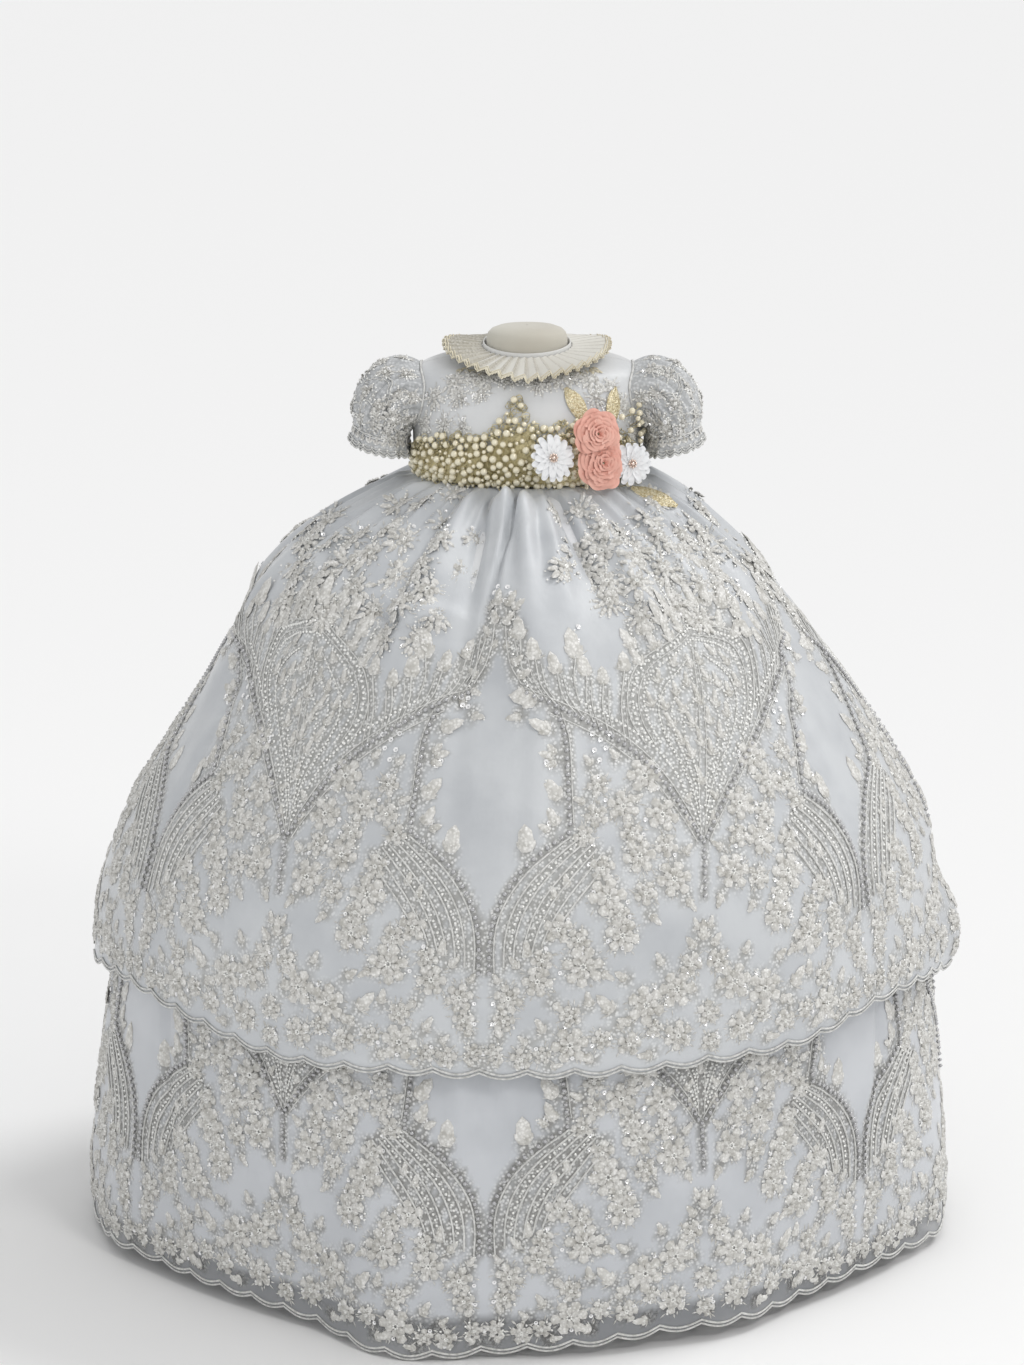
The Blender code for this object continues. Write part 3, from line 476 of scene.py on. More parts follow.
# Creases of the upper skirt, in the columns of the lower tier's
SKIRT_CREASES = [
    (-18, 0.741, -12, 0.600, 0.006, 0.022, -0.0075), (-4, 0.742, -8, 0.655, 0.0035, 0.008, -0.0080),
    (-1, 0.742, 0, 0.650, 0.010, 0.020, 0.0060), (12, 0.742, 16, 0.690, 0.005, 0.010, -0.0060),
    (-12, 0.600, -10, 0.440, 0.014, 0.020, -0.0028), (-10, 0.742, -5, 0.620, 0.008, 0.030, 0.0050),
    (6, 0.742, 9, 0.660, 0.008, 0.018, 0.0040), (16, 0.741, 17, 0.670, 0.006, 0.018, -0.0045),
    (25, 0.741, 28, 0.640, 0.008, 0.022, 0.0035), (34, 0.740, 37, 0.650, 0.006, 0.020, -0.0050),
    (44, 0.741, 48, 0.620, 0.008, 0.024, 0.0045), (54, 0.740, 56, 0.630, 0.006, 0.020, -0.0050),
    (-27, 0.741, -22, 0.650, 0.008, 0.024, 0.0045), (-34, 0.740, -31, 0.640, 0.006, 0.020, -0.0060),
    (-43, 0.741, -42, 0.640, 0.008, 0.024, 0.0050), (-52, 0.740, -54, 0.620, 0.006, 0.022, -0.0060),
    (-62, 0.741, -66, 0.610, 0.008, 0.026, 0.0050), (-71, 0.740, -76, 0.620, 0.006, 0.020, -0.0055),
    (-33, 0.648, -11, 0.634, 0.008, 0.010, -0.0030), (-33, 0.660, -13, 0.648, 0.010, 0.012, 0.0030),
    (-84, 0.741, -88, 0.640, 0.008, 0.022, 0.0045), (66, 0.741, 70, 0.640, 0.008, 0.022, 0.0045),
    (75, 0.740, 79, 0.630, 0.006, 0.020, -0.0055), (87, 0.741, 90, 0.650, 0.008, 0.020, 0.0040),
    (97, 0.740, 101, 0.620, 0.006, 0.022, -0.0060), (108, 0.741, 111, 0.640, 0.008, 0.024, 0.0045),
    (120, 0.740, 122, 0.650, 0.006, 0.018, -0.0050), (131, 0.741, 133, 0.620, 0.008, 0.024, 0.0050),
    (143, 0.740, 147, 0.630, 0.006, 0.022, -0.0060), (155, 0.741, 156, 0.650, 0.008, 0.020, 0.0040),
    (166, 0.740, 168, 0.610, 0.006, 0.024, -0.0065), (177, 0.741, 176, 0.640, 0.008, 0.022, 0.0045),
    (-173, 0.740, -170, 0.630, 0.006, 0.020, -0.0055), (-162, 0.741, -161, 0.620, 0.008, 0.024, 0.0050),
    (-150, 0.740, -152, 0.640, 0.006, 0.020, -0.0050), (-139, 0.741, -142, 0.610, 0.008, 0.026, 0.0050),
    (-128, 0.740, -130, 0.630, 0.006, 0.022, -0.0060), (-117, 0.741, -118, 0.650, 0.008, 0.020, 0.0040),
    (-106, 0.740, -109, 0.620, 0.006, 0.024, -0.0060), (-95, 0.741, -98, 0.640, 0.008, 0.022, 0.0045),
    (-66, 0.560, -64, 0.420, 0.014, 0.020, -0.0035), (53, 0.570, 55, 0.420, 0.014, 0.022, -0.0035),
    (2, 0.560, 0, 0.400, 0.016, 0.022, 0.0022), (115, 0.560, 116, 0.430, 0.014, 0.022, -0.0035),
    (174, 0.560, 173, 0.420, 0.014, 0.022, -0.0035), (-127, 0.570, -125, 0.430, 0.014, 0.020, -0.0030),
]


def upper_cloth(turn, height):
    at, _, _, out = lie(skirt, turn, height)
    reach = np.hypot(at[..., 0], at[..., 1])
    away = (np.degrees(turn) - PUFF[0] + 180) % 360 - 180
    puffed = bump(np.where(away < 0, away / PUFF[1], away / PUFF[2])) * bump((height - PUFF[3]) / PUFF[4])
    at = at + puffed[..., None] * np.array([0, -0.25 * PUFF[5], PUFF[5]])
    relief = creases(SKIRT_CREASES, turn, height, reach) * (1 + WAIST_DEEPER * bump((height - 0.700) / 0.110))
    even = 0.75 + 0.25 * np.cos(7 * turn + 0.6) * np.cos(3 * turn)
    gather = GATHER_DEPTH * even * bump((WAIST - 0.012 - height) / GATHER_REACH) * (0.5 + 0.5 * np.cos(GATHERS * turn))
    relief = (relief + gather) * np.clip((WAIST - SEAM - height) / 0.008, 0, 1)
    return at + out * relief[..., None]


around = turns(480)[None, :]
hem = hem_height(1, around) + scallop(around)
shares = np.concatenate([np.linspace(0, 0.8, 62), np.linspace(0.8, 1, 36)[1:]])[:, None]
upper_levels = hem + (WAIST - SEAM - hem) * shares
upper_grid = around + 0 * upper_levels
upper = piece("upper_skirt_organza", upper_cloth(upper_grid, upper_levels), quads(len(shares), 480, True), organza)
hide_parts("upper_skirt")
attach(upper, "root")
hem_cords("upper_hem_cord", 1, upper_cloth)

# Lace of both tiers: leaves, flowers, corded scrolls and pearl lines worked on net, sewn flat to the organza.
# Its repeat is a sixth of the way round and the same to both sides of its middle.
LACE_MIDDLE, LACE_REPEATS = 24.5, 6
# How far the front breadths spread towards the waist: millimetres above the hem, degrees
LACE_LEAN = [(-20, 0.0), (150, 0.0), (195, 1.7), (240, 4.0), (280, 7.0), (320, 10.0), (360, 13.0), (400, 16.0)]
# Pearl lines: pearl and spacing in mm, then degrees from the middle and mm above the hem
PEARL_LINES = [
    (4.2, 5.8, [(0, 150), (0, 193)]),
    (4.4, 6.2, [(0.5, 197), (1.8, 210), (3.2, 222), (5.6, 241), (9.0, 262), (13.5, 282), (18.5, 300), (22.2, 312),
                (25.9, 322)]),
    (3.0, 4.4, [(0.6, 208), (2.4, 232), (5.0, 256), (7.6, 272), (10.4, 285), (14.0, 298), (18.5, 313)]),
    (4.6, 6.6, [(22.0, 306), (21.2, 298), (20.6, 286), (20.0, 262), (19.6, 240), (19.2, 216)]),
    (4.6, 7.0, [(19.3, 209), (21.9, 198), (25.0, 182), (27.5, 161), (28.9, 138), (29.3, 118), (29.3, 94)]),
    (3.2, 4.6, [(8.2, 277), (10.4, 296), (10.9, 316), (9.6, 334), (6.6, 346), (3.2, 354), (0.3, 360)]),
    (2.6, 3.7, [(6.8, 276), (8.8, 296), (9.2, 314), (8.0, 329), (5.4, 340), (2.6, 347), (0.3, 351)]),
    (2.6, 3.7, [(0.5, 214), (1.6, 236), (3.4, 256), (5.4, 274), (6.8, 292), (6.9, 308), (5.2, 322), (2.6, 334)]),
    (2.6, 3.7, [(0.4, 222), (1.3, 242), (2.7, 260), (4.2, 276), (5.0, 292), (4.6, 306), (3.0, 316), (1.2, 322)]),
    (2.6, 3.7, [(0.5, 236), (1.0, 250), (1.9, 262), (2.8, 276), (3.0, 290), (2.2, 300), (0.8, 306)]),
    (2.6, 3.7, [(9.4, 338), (10.9, 370)]),
    (2.6, 3.7, [(6.8, 349), (8.6, 384)]),
    (2.6, 3.7, [(4.5, 356), (5.8, 394)]),
    (2.6, 3.7, [(2.1, 360), (2.9, 400)]),
    (2.6, 3.7, [(0, 362), (0, 404)]),
    (2.8, 5.4, [(17.6, 203), (20.2, 190), (22.8, 172), (24.9, 153), (26.2, 134), (26.6, 116)]),
    (2.8, 5.4, [(15.8, 198), (17.9, 184), (20.0, 168), (22.0, 151), (23.4, 134), (24.2, 118)]),
    (2.8, 4.6, [(28.6, 384), (28.2, 360), (27.4, 342), (25.9, 328)]),
]
# Cords: half thickness in mm, then points in the same measures
CORDS = [
    (0.7, [(0.0, 196), (1.2, 210), (2.6, 224), (5.0, 244), (8.3, 265), (12.8, 286), (17.8, 304), (22.0, 316),
           (26.2, 327)]),
    (0.7, [(0.9, 194), (2.2, 207), (3.8, 220), (6.2, 238), (9.6, 258), (14.0, 278), (19.0, 295), (22.8, 306)]),
    (0.7, [(21.2, 306), (20.0, 286), (19.4, 262), (19.0, 240), (18.6, 216)]),
    (0.8, [(18.8, 314), (19.6, 332), (19.3, 352)]),
    (0.8, [(24.0, 316), (26.3, 334), (27.0, 366)]), (0.6, [(23.2, 316), (25.3, 336), (26.2, 360)]),
    (0.8, [(21.6, 310), (24.0, 328), (25.0, 350)]), (0.6, [(20.8, 308), (23.2, 326), (24.2, 346)]),
    (0.8, [(18.8, 302), (21.0, 318), (22.0, 338)]), (0.6, [(18.0, 300), (20.2, 318), (21.2, 336)]),
    (0.8, [(16.6, 296), (17.7, 314), (17.7, 334)]), (0.6, [(15.8, 292), (16.9, 312), (16.9, 330)]),
    (0.8, [(14.4, 287), (15.3, 306), (15.2, 326)]), (0.6, [(13.6, 284), (14.4, 304), (14.4, 322)]),
    (0.8, [(12.0, 279), (12.6, 308), (12.0, 335)]), (0.6, [(11.2, 276), (11.8, 300), (11.4, 328)]),
    (0.8, [(29.2, 386), (28.9, 362), (28.1, 343), (26.6, 329)]),
    (0.7, [(28.0, 386), (27.6, 360), (26.7, 343), (25.2, 330)]),
    (0.8, [(9.0, 276), (11.2, 296), (11.7, 316), (10.3, 336), (7.0, 349), (3.4, 357), (0.2, 364)]),
    (0.6, [(0.3, 200), (0.5, 230), (0.5, 260), (0.4, 300), (0.3, 345)]),
    (0.6, [(7.6, 275), (9.6, 296), (10.0, 315), (8.8, 331), (6.0, 343), (2.9, 350), (0.2, 355)]),
    (0.6, [(0.6, 218), (2.1, 246), (4.3, 266), (6.1, 284), (7.0, 300), (6.2, 316), (4.0, 328), (1.6, 338)]),
]
# The scroll's ribs run between these two lines
SCROLL_OUTER = [(18.9, 206), (21.4, 195), (24.4, 179), (26.9, 159), (28.3, 138), (28.7, 118), (28.6, 94)]
SCROLL_INNER = [(13.6, 190), (14.6, 181), (16.0, 169), (17.6, 157), (19.0, 145), (20.2, 134), (21.2, 122)]
# Leaves: degrees from the middle, mm above the hem, lean in degrees away from the middle, length, width
LEAVES = [
    (24.6, 315, 75, 27, 15), (26.6, 304, 105, 15, 8), (22.6, 291, 62, 23, 13), (21.9, 270, 72, 15, 9),
    (21.7, 272, 34, 13, 8), (21.5, 266, 108, 12, 8), (20.7, 236, 34, 25, 15), (21.0, 215, 22, 20, 11),
    (21.8, 211, 64, 13, 8), (24.8, 194, 5, 27, 17), (19.3, 348, -4, 31, 19), (27.1, 364, 14, 23, 13),
    (25.1, 349, 12, 23, 14), (22.0, 337, 8, 23, 13), (17.7, 333, 2, 23, 16), (15.2, 325, -5, 19, 12),
    (12.0, 334, -8, 21, 13), (10.3, 351, 22, 24, 12), (8.0, 361, 16, 28, 12), (5.5, 367, 11, 31, 12),
    (3.0, 371, 5, 33, 12), (0.0, 373, 0, 35, 12), (9.2, 338, 26, 21, 9), (6.8, 348, 19, 23, 9), (4.4, 354, 12, 25, 9),
    (1.8, 358, 5, 26, 9), (29.2, 388, -8, 19, 9), (28.3, 386, -32, 16, 8), (29.4, 374, -24, 15, 8),
    (28.6, 366, -42, 14, 8), (28.9, 356, 18, 13, 6), (28.0, 344, -40, 14, 7), (27.2, 334, -50, 15, 8),
    (26.2, 325, 120, 15, 8), (0.0, 300, 0, 24, 6), (1.3, 284, 12, 20, 6), (2.7, 296, 18, 20, 6),
    (1.5, 260, 10, 19, 6), (3.1, 272, 16, 19, 6), (4.6, 286, 20, 18, 6), (0.0, 238, 0, 20, 6), (0.0, 268, 0, 22, 6),
    (5.8, 300, 8, 18, 6), (4.0, 310, -4, 17, 6), (2.0, 316, -8, 17, 6), (1.0, 330, 0, 16, 6), (7.9, 304, 6, 18, 6),
    (6.9, 322, -16, 17, 6), (4.4, 334, -30, 16, 6), (0.0, 112, 0, 20, 9), (1.3, 106, 38, 15, 8),
    (0.7, 122, 24, 13, 6), (13.2, 56, 42, 23, 12), (10.8, 46, 78, 15, 8), (16.2, 62, 12, 15, 8),
    (22.2, 40, 30, 16, 8), (16.0, 14, 80, 17, 8), (8.2, 14, 92, 16, 8), (6.2, 94, 20, 14, 7), (11.2, 84, 52, 14, 8),
    (1.6, 206, 18, 15, 6), (2.6, 150, -150, 15, 7), (7.8, 140, -140, 14, 7), (14.6, 92, -120, 15, 7),
    (21.0, 66, -130, 14, 7), (17.2, 232, 60, 14, 7), (16.6, 262, 30, 13, 7), (2.6, 226, -40, 13, 6),
    (3.0, 186, -50, 14, 7), (24.2, 108, 10, 17, 8), (25.4, 98, 40, 15, 7), (28.0, 84, 30, 12, 6),
    (13.0, 266, 30, 13, 7), (10.4, 232, -60, 12, 6), (20.6, 156, 20, 15, 7), (19.2, 166, 10, 14, 7),
    (27.8, 36, 20, 13, 7), (24.4, 30, 50, 12, 6), (1.8, 66, 10, 12, 6), (12.6, 40, -30, 12, 6),
    (28.8, 10, -60, 12, 6), (21.6, 8, -80, 13, 6),
]
# Flowers: degrees from the middle, mm above the hem, reach in mm, petals
FLOWERS = [
    (9.0, 251, 18, 6), (6.2, 219, 17, 6), (11.9, 228, 16, 6), (15.6, 246, 11, 5), (15.6, 222, 12, 5),
    (4.5, 167, 18, 6), (9.5, 188, 17, 6), (10.6, 206, 12, 5), (13.8, 157, 19, 6), (14.6, 180, 13, 5),
    (8.6, 158, 12, 5), (11.7, 124, 17, 6), (12.2, 142, 11, 5), (17.0, 98, 20, 7), (20.3, 132, 14, 5),
    (17.6, 122, 12, 5), (23.0, 86, 15, 6), (26.8, 71, 14, 6), (27.4, 51, 11, 5), (22.4, 105, 11, 5),
    (17.2, 206, 11, 5), (5.6, 194, 12, 5), (2.0, 92, 12, 5), (4.3, 71, 18, 6), (8.7, 60, 19, 6), (18.8, 54, 11, 5),
    (19.0, 28, 18, 6), (11.3, 26, 12, 5), (4.6, 29, 15, 6), (14.9, 32, 10, 5), (25.2, 16, 11, 5), (0.0, 46, 12, 5),
    (7.8, 38, 9, 5), (22.6, 19, 9, 5), (28.7, 22, 9, 5), (0.0, 18, 10, 5),
]
# Ring sequins: degrees from the middle, mm above the hem
RINGS = [
    (16.8, 287), (15.6, 282), (14.8, 275), (16.4, 274), (15.6, 266), (14.3, 286), (24.9, 318), (25.9, 318),
    (25.2, 312), (26.0, 311), (22.5, 271), (22.9, 266), (22.3, 262), (21.3, 221), (22.0, 217), (19.1, 362),
    (19.8, 360), (19.0, 372), (27.0, 374), (27.6, 370), (25.3, 358), (28.6, 398), (29.2, 402), (29.4, 392),
]


def pad(half_widths, tip_fill):
    """A raised leaf or petal one unit long and wide, with a corded edge round a sunken middle."""
    points, faces = [(0, 0, 0)], []
    for up, half, middle in ((0.24, half_widths[0], 0.5), (0.74, half_widths[1], 0.6)):
        points += [(-half, up, 0), (-half * 0.72, up, 1), (0, up, middle), (half * 0.72, up, 1), (half, up, 0)]
    points.append((0, 1 + tip_fill, 0))
    for c in range(4):
        faces += [(0, 2 + c, 1 + c), (1 + c, 2 + c, 7 + c, 6 + c), (6 + c, 7 + c, 11)]
    return np.array(points, float), faces


LEAF = pad((0.46, 0.36), 0.0)
PETAL = pad((0.38, 0.52), -0.01)
STITCH = (np.array([(0, 0, 0), (-0.5, 0.5, 0), (0, 0.5, 1), (0.5, 0.5, 0), (0, 1, 0)], float),
          [(0, 2, 1), (0, 3, 2), (1, 2, 4), (2, 3, 4)])


def ball(subdivisions, lift):
    """A round bead one unit across, raised by a share of its size."""
    bpy.ops.mesh.primitive_ico_sphere_add(subdivisions=subdivisions, radius=0.5)
    bead = bpy.context.object
    points = np.array([v.co[:] for v in bead.data.vertices]) + [0, 0, lift]
    faces = [tuple(f.vertices) for f in bead.data.polygons]
    bpy.data.objects.remove(bead)
    return points, faces


PEARL = ball(1, 0.38)
angle = turns(5)
BEAD = (np.concatenate([np.stack([0.5 * np.cos(angle), 0.5 * np.sin(angle), 0.1 + 0 * angle], 1), [(0, 0, 0.75)]]),
        [(i, (i + 1) % 5, 5) for i in range(5)])
angle = np.arange(6) * math.pi / 3
SEQUIN = (np.concatenate([np.stack([0.5 * np.cos(angle), 0.5 * np.sin(angle), 0.6 + 0 * angle], 1),
                          np.stack([0.17 * np.cos(angle), 0.17 * np.sin(angle), 0.1 + 0 * angle], 1)]),
          [(i, (i + 1) % 6, 6 + (i + 1) % 6, 6 + i) for i in range(6)])


def along_lace(points, spacing):
    """Evenly spaced places along a smooth line of the lace."""
    rows, length = [], 0.0
    for i, (a, s) in enumerate(points):
        if i:
            length += math.hypot((a - points[i - 1][0]) * 6.0, s - points[i - 1][1])
        rows.append((length, a, s))
    at = np.linspace(0, length, max(2, int(round(length / spacing)) + 1))
    return smooth(rows, 1, at), smooth(rows, 2, at)


def everywhere(a, s, dx, dy, spin, tier_hem, cloth, lean):
    """Turns a half repeat's places into turn, height and spin of all its copies on a tier."""
    out = []
    for k in range(LACE_REPEATS):
        for sign in (1, -1):
            keep = np.abs(a) > 0.05 if sign < 0 else np.full(len(a), True)
            flat = LACE_MIDDLE + 60 * k + sign * a[keep]
            turn = np.radians(flat + lean * smooth(LACE_LEAN, 1, s[keep]) * np.sin(np.radians(flat + 5.5)) / 0.5)
            height = hem_height(tier_hem, turn) + s[keep] / 1000
            at = cloth(turn, height)
            above = cloth(turn, height + 0.001)
            rise = 0.001 / np.linalg.norm(above - at, axis=-1)
            turn = turn + sign * dx[keep] / 1000 / np.hypot(at[:, 0], at[:, 1])
            out.append(np.stack([turn, height + dy[keep] / 1000 * rise, sign * spin[keep],
                                 np.flatnonzero(keep) + 0.0], axis=1))
    return np.concatenate(out)


def repeated(shape, times):
    """The faces of many copies of a small shape."""
    points, faces = shape
    return [tuple(i + n * len(points) for i in face) for n in range(times) for face in faces]


def stamp(name, shape, turn, height, spin, long, wide, high, cloth, look, lift=0.0002):
    """Copies of one small shape on a cloth, each at its own place, spin and size in metres."""
    at, across, up, out = lie(cloth, turn, height)
    c, s = np.cos(spin)[:, None], np.sin(spin)[:, None]
    fore, side = c * up + s * across, c * across - s * up
    x, y, z = (shape[0][None, :, k, None] for k in range(3))
    grid = (at[:, None] + side[:, None] * x * np.asarray(wide)[:, None, None]
            + fore[:, None] * y * np.asarray(long)[:, None, None]
            + out[:, None] * (z * np.asarray(high)[:, None, None] + lift))
    return piece(name, grid.reshape(-1, 3), repeated(shape, len(turn)), look)


def strew(rows, a, s, far, way, *spin_and_size):
    """Adds one small shape that lies a distance in mm off its spot, in a direction."""
    rows.append((a, s, far * math.sin(way), far * math.cos(way), *spin_and_size))


# Everything in half a repeat, as rows of place, offset in mm, spin, length, width and height in mm
chance = np.random.RandomState(4)
leaves, petals, stitches, pearls, beads, sequins = [], [], [], [], [], []
for a, s, spin, long, wide in LEAVES:
    leaves.append((a, s, 0, 0, math.radians(spin), long, wide, 1.5))
    for side in (-1, 1):
        leaves.append((a, s, 0, 0, math.radians(spin + side * 38), long * 0.52, wide * 0.45, 1.2))
    for n in range(max(2, int(long / 8))):
        reach = long * (0.25 + 0.6 * n / max(1, int(long / 8) - 1))
        turn_by = math.radians(spin + chance.uniform(-8, 8))
        strew(beads, a, s, reach, turn_by, 0, 2.3, 2.3, 2.3)
    for n in range(4):
        stitches.append((a, s, 0, 0, math.radians(spin + chance.uniform(-75, 75)), long * chance.uniform(0.35, 0.6),
                         1.6, 0.9))
for a, s, reach, count in FLOWERS:
    start = chance.uniform(0, 6.28)
    for n in range(count):
        spin = start + 2 * math.pi * n / count + chance.uniform(-0.12, 0.12)
        strew(petals, a, s, 0.36 * reach, spin, spin, 0.62 * reach, 3.4 * reach / count, 1.9)
        spin += math.pi / count
        strew(petals, a, s, 0.10 * reach, spin, spin, 0.50 * reach, 2.4 * reach / count, 2.7)
    for n in range(count * 2):
        spin = chance.uniform(0, 6.28)
        root = reach * chance.uniform(0.72, 0.98)
        strew(stitches, a, s, root, spin, spin + chance.uniform(-0.5, 0.5), chance.uniform(4, 7.5), 1.5, 0.9)
    for n in range(count):
        strew(beads, a, s, 0.13 * reach, 2 * math.pi * n / count, 0, 2.7, 2.7, 3.6)
    for n in range(count + 2):
        spin, root = chance.uniform(0, 6.28), reach * chance.uniform(0.35, 1.05)
        strew(beads, a, s, root, spin, 0, 2.5, 2.5, 3.4)
    for n in range(max(2, int(reach / 5))):
        spin, root = chance.uniform(0, 6.28), reach * chance.uniform(0.4, 1.1)
        strew(sequins, a, s, root, spin, 0, 4.2, 4.2, 1.6)
for size, spacing, line in PEARL_LINES:
    for a, s in zip(*along_lace(line, spacing)):
        (pearls if size > 4 else beads).append((a, s, 0, 0, 0, size, size, size))
for a, s in RINGS:
    sequins.append((a, s, 0, 0, 0, 5.2, 5.2, 1.6))

thread = woven(shader("ivory_thread", (0.70, 0.70, 0.67), 0.38, sheen_weight=0.1), (0.90, 0.89, 0.86),
               (0.60, 0.585, 0.54), 0.0008, 0.0005, 0.0005, 0.004, 110.0)
# All over the thread: painted highlights on bead tops and painted shade in the gaps
tint(thread, None, (0.30, 0.295, 0.275), (1.0, 1.0, 0.98), 0.34, 310.0)
pearl_grey = shader("grey_pearl", (0.50, 0.50, 0.51), 0.22, metallic=0.35, coat_weight=0.6, coat_roughness=0.1)
pearl_white = shader("white_pearl", (0.94, 0.94, 0.91), 0.18, metallic=0.1, coat_weight=0.5, coat_roughness=0.1)
ring_look = shader("clear_sequin", (0.95, 0.95, 0.95), 0.15, metallic=0.3, coat_weight=1.0, coat_roughness=0.05)
for tier_name, tier_hem, cloth, lean, top in (("upper", 1, upper_cloth, 1, 420), ("lower", 2, lower_cloth, 0, 272)):
    for kind, shape, rows, look in (("leaves", LEAF, leaves, thread), ("petals", PETAL, petals, thread),
                                    ("stitches", STITCH, stitches, thread), ("pearls", PEARL, pearls, pearl_grey),
                                    ("beads", BEAD, beads, pearl_white), ("sequins", SEQUIN, sequins, ring_look)):
        row = np.array([r for r in rows if r[1] < top])
        places = everywhere(row[:, 0], row[:, 1], row[:, 2], row[:, 3], row[:, 4], tier_hem, cloth, lean)
        which = places[:, 3].astype(int)
        thing = stamp(tier_name + "_lace_" + kind, shape, places[:, 0], places[:, 1], places[:, 2],
                      row[which, 5] / 1000, row[which, 6] / 1000, row[which, 7] / 1000, cloth, look)
        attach(thing, "root")
    lines = []
    ribs = [(1.1, [tuple((1 - f) * p + f * q for p, q in zip(o, i)) for o, i in zip(SCROLL_OUTER, SCROLL_INNER)])
            for f in np.linspace(0, 1, 7)]
    for half, line in CORDS + ribs:
        a, s = along_lace(line, 6.0)
        keep = s < top
        if keep.sum() < 2:
            continue
        a, s = a[keep] + 0.06, s[keep]
        zero = 0 * a
        places = everywhere(a, s, zero, zero, zero, tier_hem, cloth, lean).reshape(LACE_REPEATS * 2, len(a), 4)
        at, _, _, out = lie(cloth, places[..., 0], places[..., 1])
        for one, up in zip(at, out):
            lines.append(cord_line(one + up * half * 0.0007, False, half * 0.001, 4))
    thing = joined(tier_name + "_lace_cords", lines, cord_white)
    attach(thing, "root")

# Where the lace covers a tier its net and stitches tint the cloth, with painted bead highlights and painted shade in
# the gaps: the same half repeat as a chart of soft spots
# Columns of the chart and how many to a degree, rows and their height in mm, how far below the hem it starts
COLUMNS, TO_DEGREE, ROWS, ROW_HIGH, FOOT = 121, 4, 216, 2.0, 6
chart = np.zeros((COLUMNS, ROWS))
chart_a, chart_s = np.meshgrid(np.arange(COLUMNS) / TO_DEGREE, np.arange(ROWS) * ROW_HIGH - FOOT, indexing="ij")
spots = ([(a, s, 8) for a, s, *_ in LEAVES] + [(a, s, r * 0.95) for a, s, r, _ in FLOWERS]
         + [(a, s, 4.5) for _, _, line in PEARL_LINES for a, s in zip(*along_lace(line, 6))]
         + [(a, s, 4.5) for _, line in CORDS + ribs for a, s in zip(*along_lace(line, 6))])
for a, s, r in spots:
    far = np.hypot((chart_a - a) * 6.6, chart_s - s) / r
    chart = np.maximum(chart, np.clip(1.9 - 1.5 * far, 0, 1))
for cloth_piece, tier_hem, lean, grid, levels in ((upper, 1, 1, upper_grid, upper_levels),
                                                  (lower, 2, 0, lower_grid, lower_levels)):
    s = (levels - hem_height(tier_hem, grid)) * 1000
    flat = np.degrees(grid)
    spread = lean * smooth(LACE_LEAN, 1, np.clip(s, -20, 400)) / 0.5
    for _ in range(12):
        flat = np.degrees(grid) - spread * np.sin(np.radians(flat + 5.5))
    a = np.abs((flat - LACE_MIDDLE + 30) % 60 - 30)
    i = np.clip(a * TO_DEGREE, 0, COLUMNS - 1).astype(int)
    j = np.clip((s + FOOT) / ROW_HIGH, 0, ROWS - 1).astype(int)
    mask = np.where(s > 424, 0, chart[i, j])
    cloth_piece.data.attributes.new("lace", "FLOAT", "POINT").data.foreach_set("value", mask.ravel())

# Loose lace sprays of the upper skirt, cut out of the same lace and sewn on below the waist
# Sprays: turn in degrees, height, reach of the flower in mm, lean of the spray in degrees
SKIRT_SPRAYS = [
    (-52, 0.686, 15, 210), (-35, 0.680, 17, 150), (-24, 0.672, 14, 160), (-50, 0.709, 13, 30), (-46, 0.729, 12, -60),
    (-38, 0.737, 10, 20), (-80, 0.703, 14, 200), (-71, 0.673, 15, 170), (-64, 0.640, 13, 190), (12, 0.727, 12, -100),
    (22, 0.728, 12, 80), (10, 0.690, 12, 240), (16, 0.704, 14, 250), (23, 0.700, 15, 30), (21, 0.678, 13, 170),
    (31, 0.692, 14, 110), (33, 0.712, 12, 60), (46, 0.716, 13, 100), (50, 0.690, 14, 140), (52, 0.660, 13, 170),
    (62, 0.726, 12, 80), (68, 0.700, 13, 150), (74, 0.672, 14, 190), (-92, 0.700, 13, 160), (-104, 0.680, 15, 200),
    (-118, 0.712, 12, 150), (-128, 0.684, 14, 190), (-143, 0.706, 13, 160), (-152, 0.676, 14, 210),
    (-168, 0.702, 13, 170), (88, 0.706, 13, 200), (99, 0.680, 15, 160), (113, 0.710, 12, 190), (124, 0.682, 14, 150),
    (139, 0.706, 13, 200), (150, 0.676, 14, 170), (165, 0.704, 13, 190), (178, 0.680, 14, 180), (-88, 0.690, 13, 170),
    (-76, 0.688, 12, 200), (-66, 0.692, 13, 150), (-58, 0.700, 12, 190), (-57, 0.668, 14, 160), (-47, 0.692, 13, 200),
    (-44, 0.664, 14, 150), (-40, 0.704, 12, 190), (-36, 0.652, 13, 170), (-29, 0.662, 14, 190), (-29, 0.690, 12, 150),
    (-26, 0.708, 11, 200), (-20, 0.652, 12, 170), (-18, 0.688, 12, 160), (-31, 0.634, 12, 180), (-23, 0.634, 11, 190),
    (-48, 0.644, 13, 170), (-56, 0.650, 12, 190), (-66, 0.662, 12, 180), (-33, 0.722, 11, 160), (-58, 0.726, 11, 190),
    (-18, 0.712, 10, 170), (17, 0.690, 12, 170), (20, 0.664, 12, 190), (26, 0.650, 11, 170), (27, 0.716, 12, 200),
    (28, 0.676, 13, 150), (36, 0.700, 12, 180), (38, 0.655, 12, 170), (40, 0.682, 13, 190), (42, 0.640, 11, 180),
    (45, 0.702, 12, 160), (57, 0.676, 13, 180), (57, 0.702, 12, 170), (61, 0.650, 12, 190), (64, 0.684, 12, 170),
    (76, 0.690, 12, 190), (82, 0.664, 13, 170), (48, 0.664, 12, 190),
]


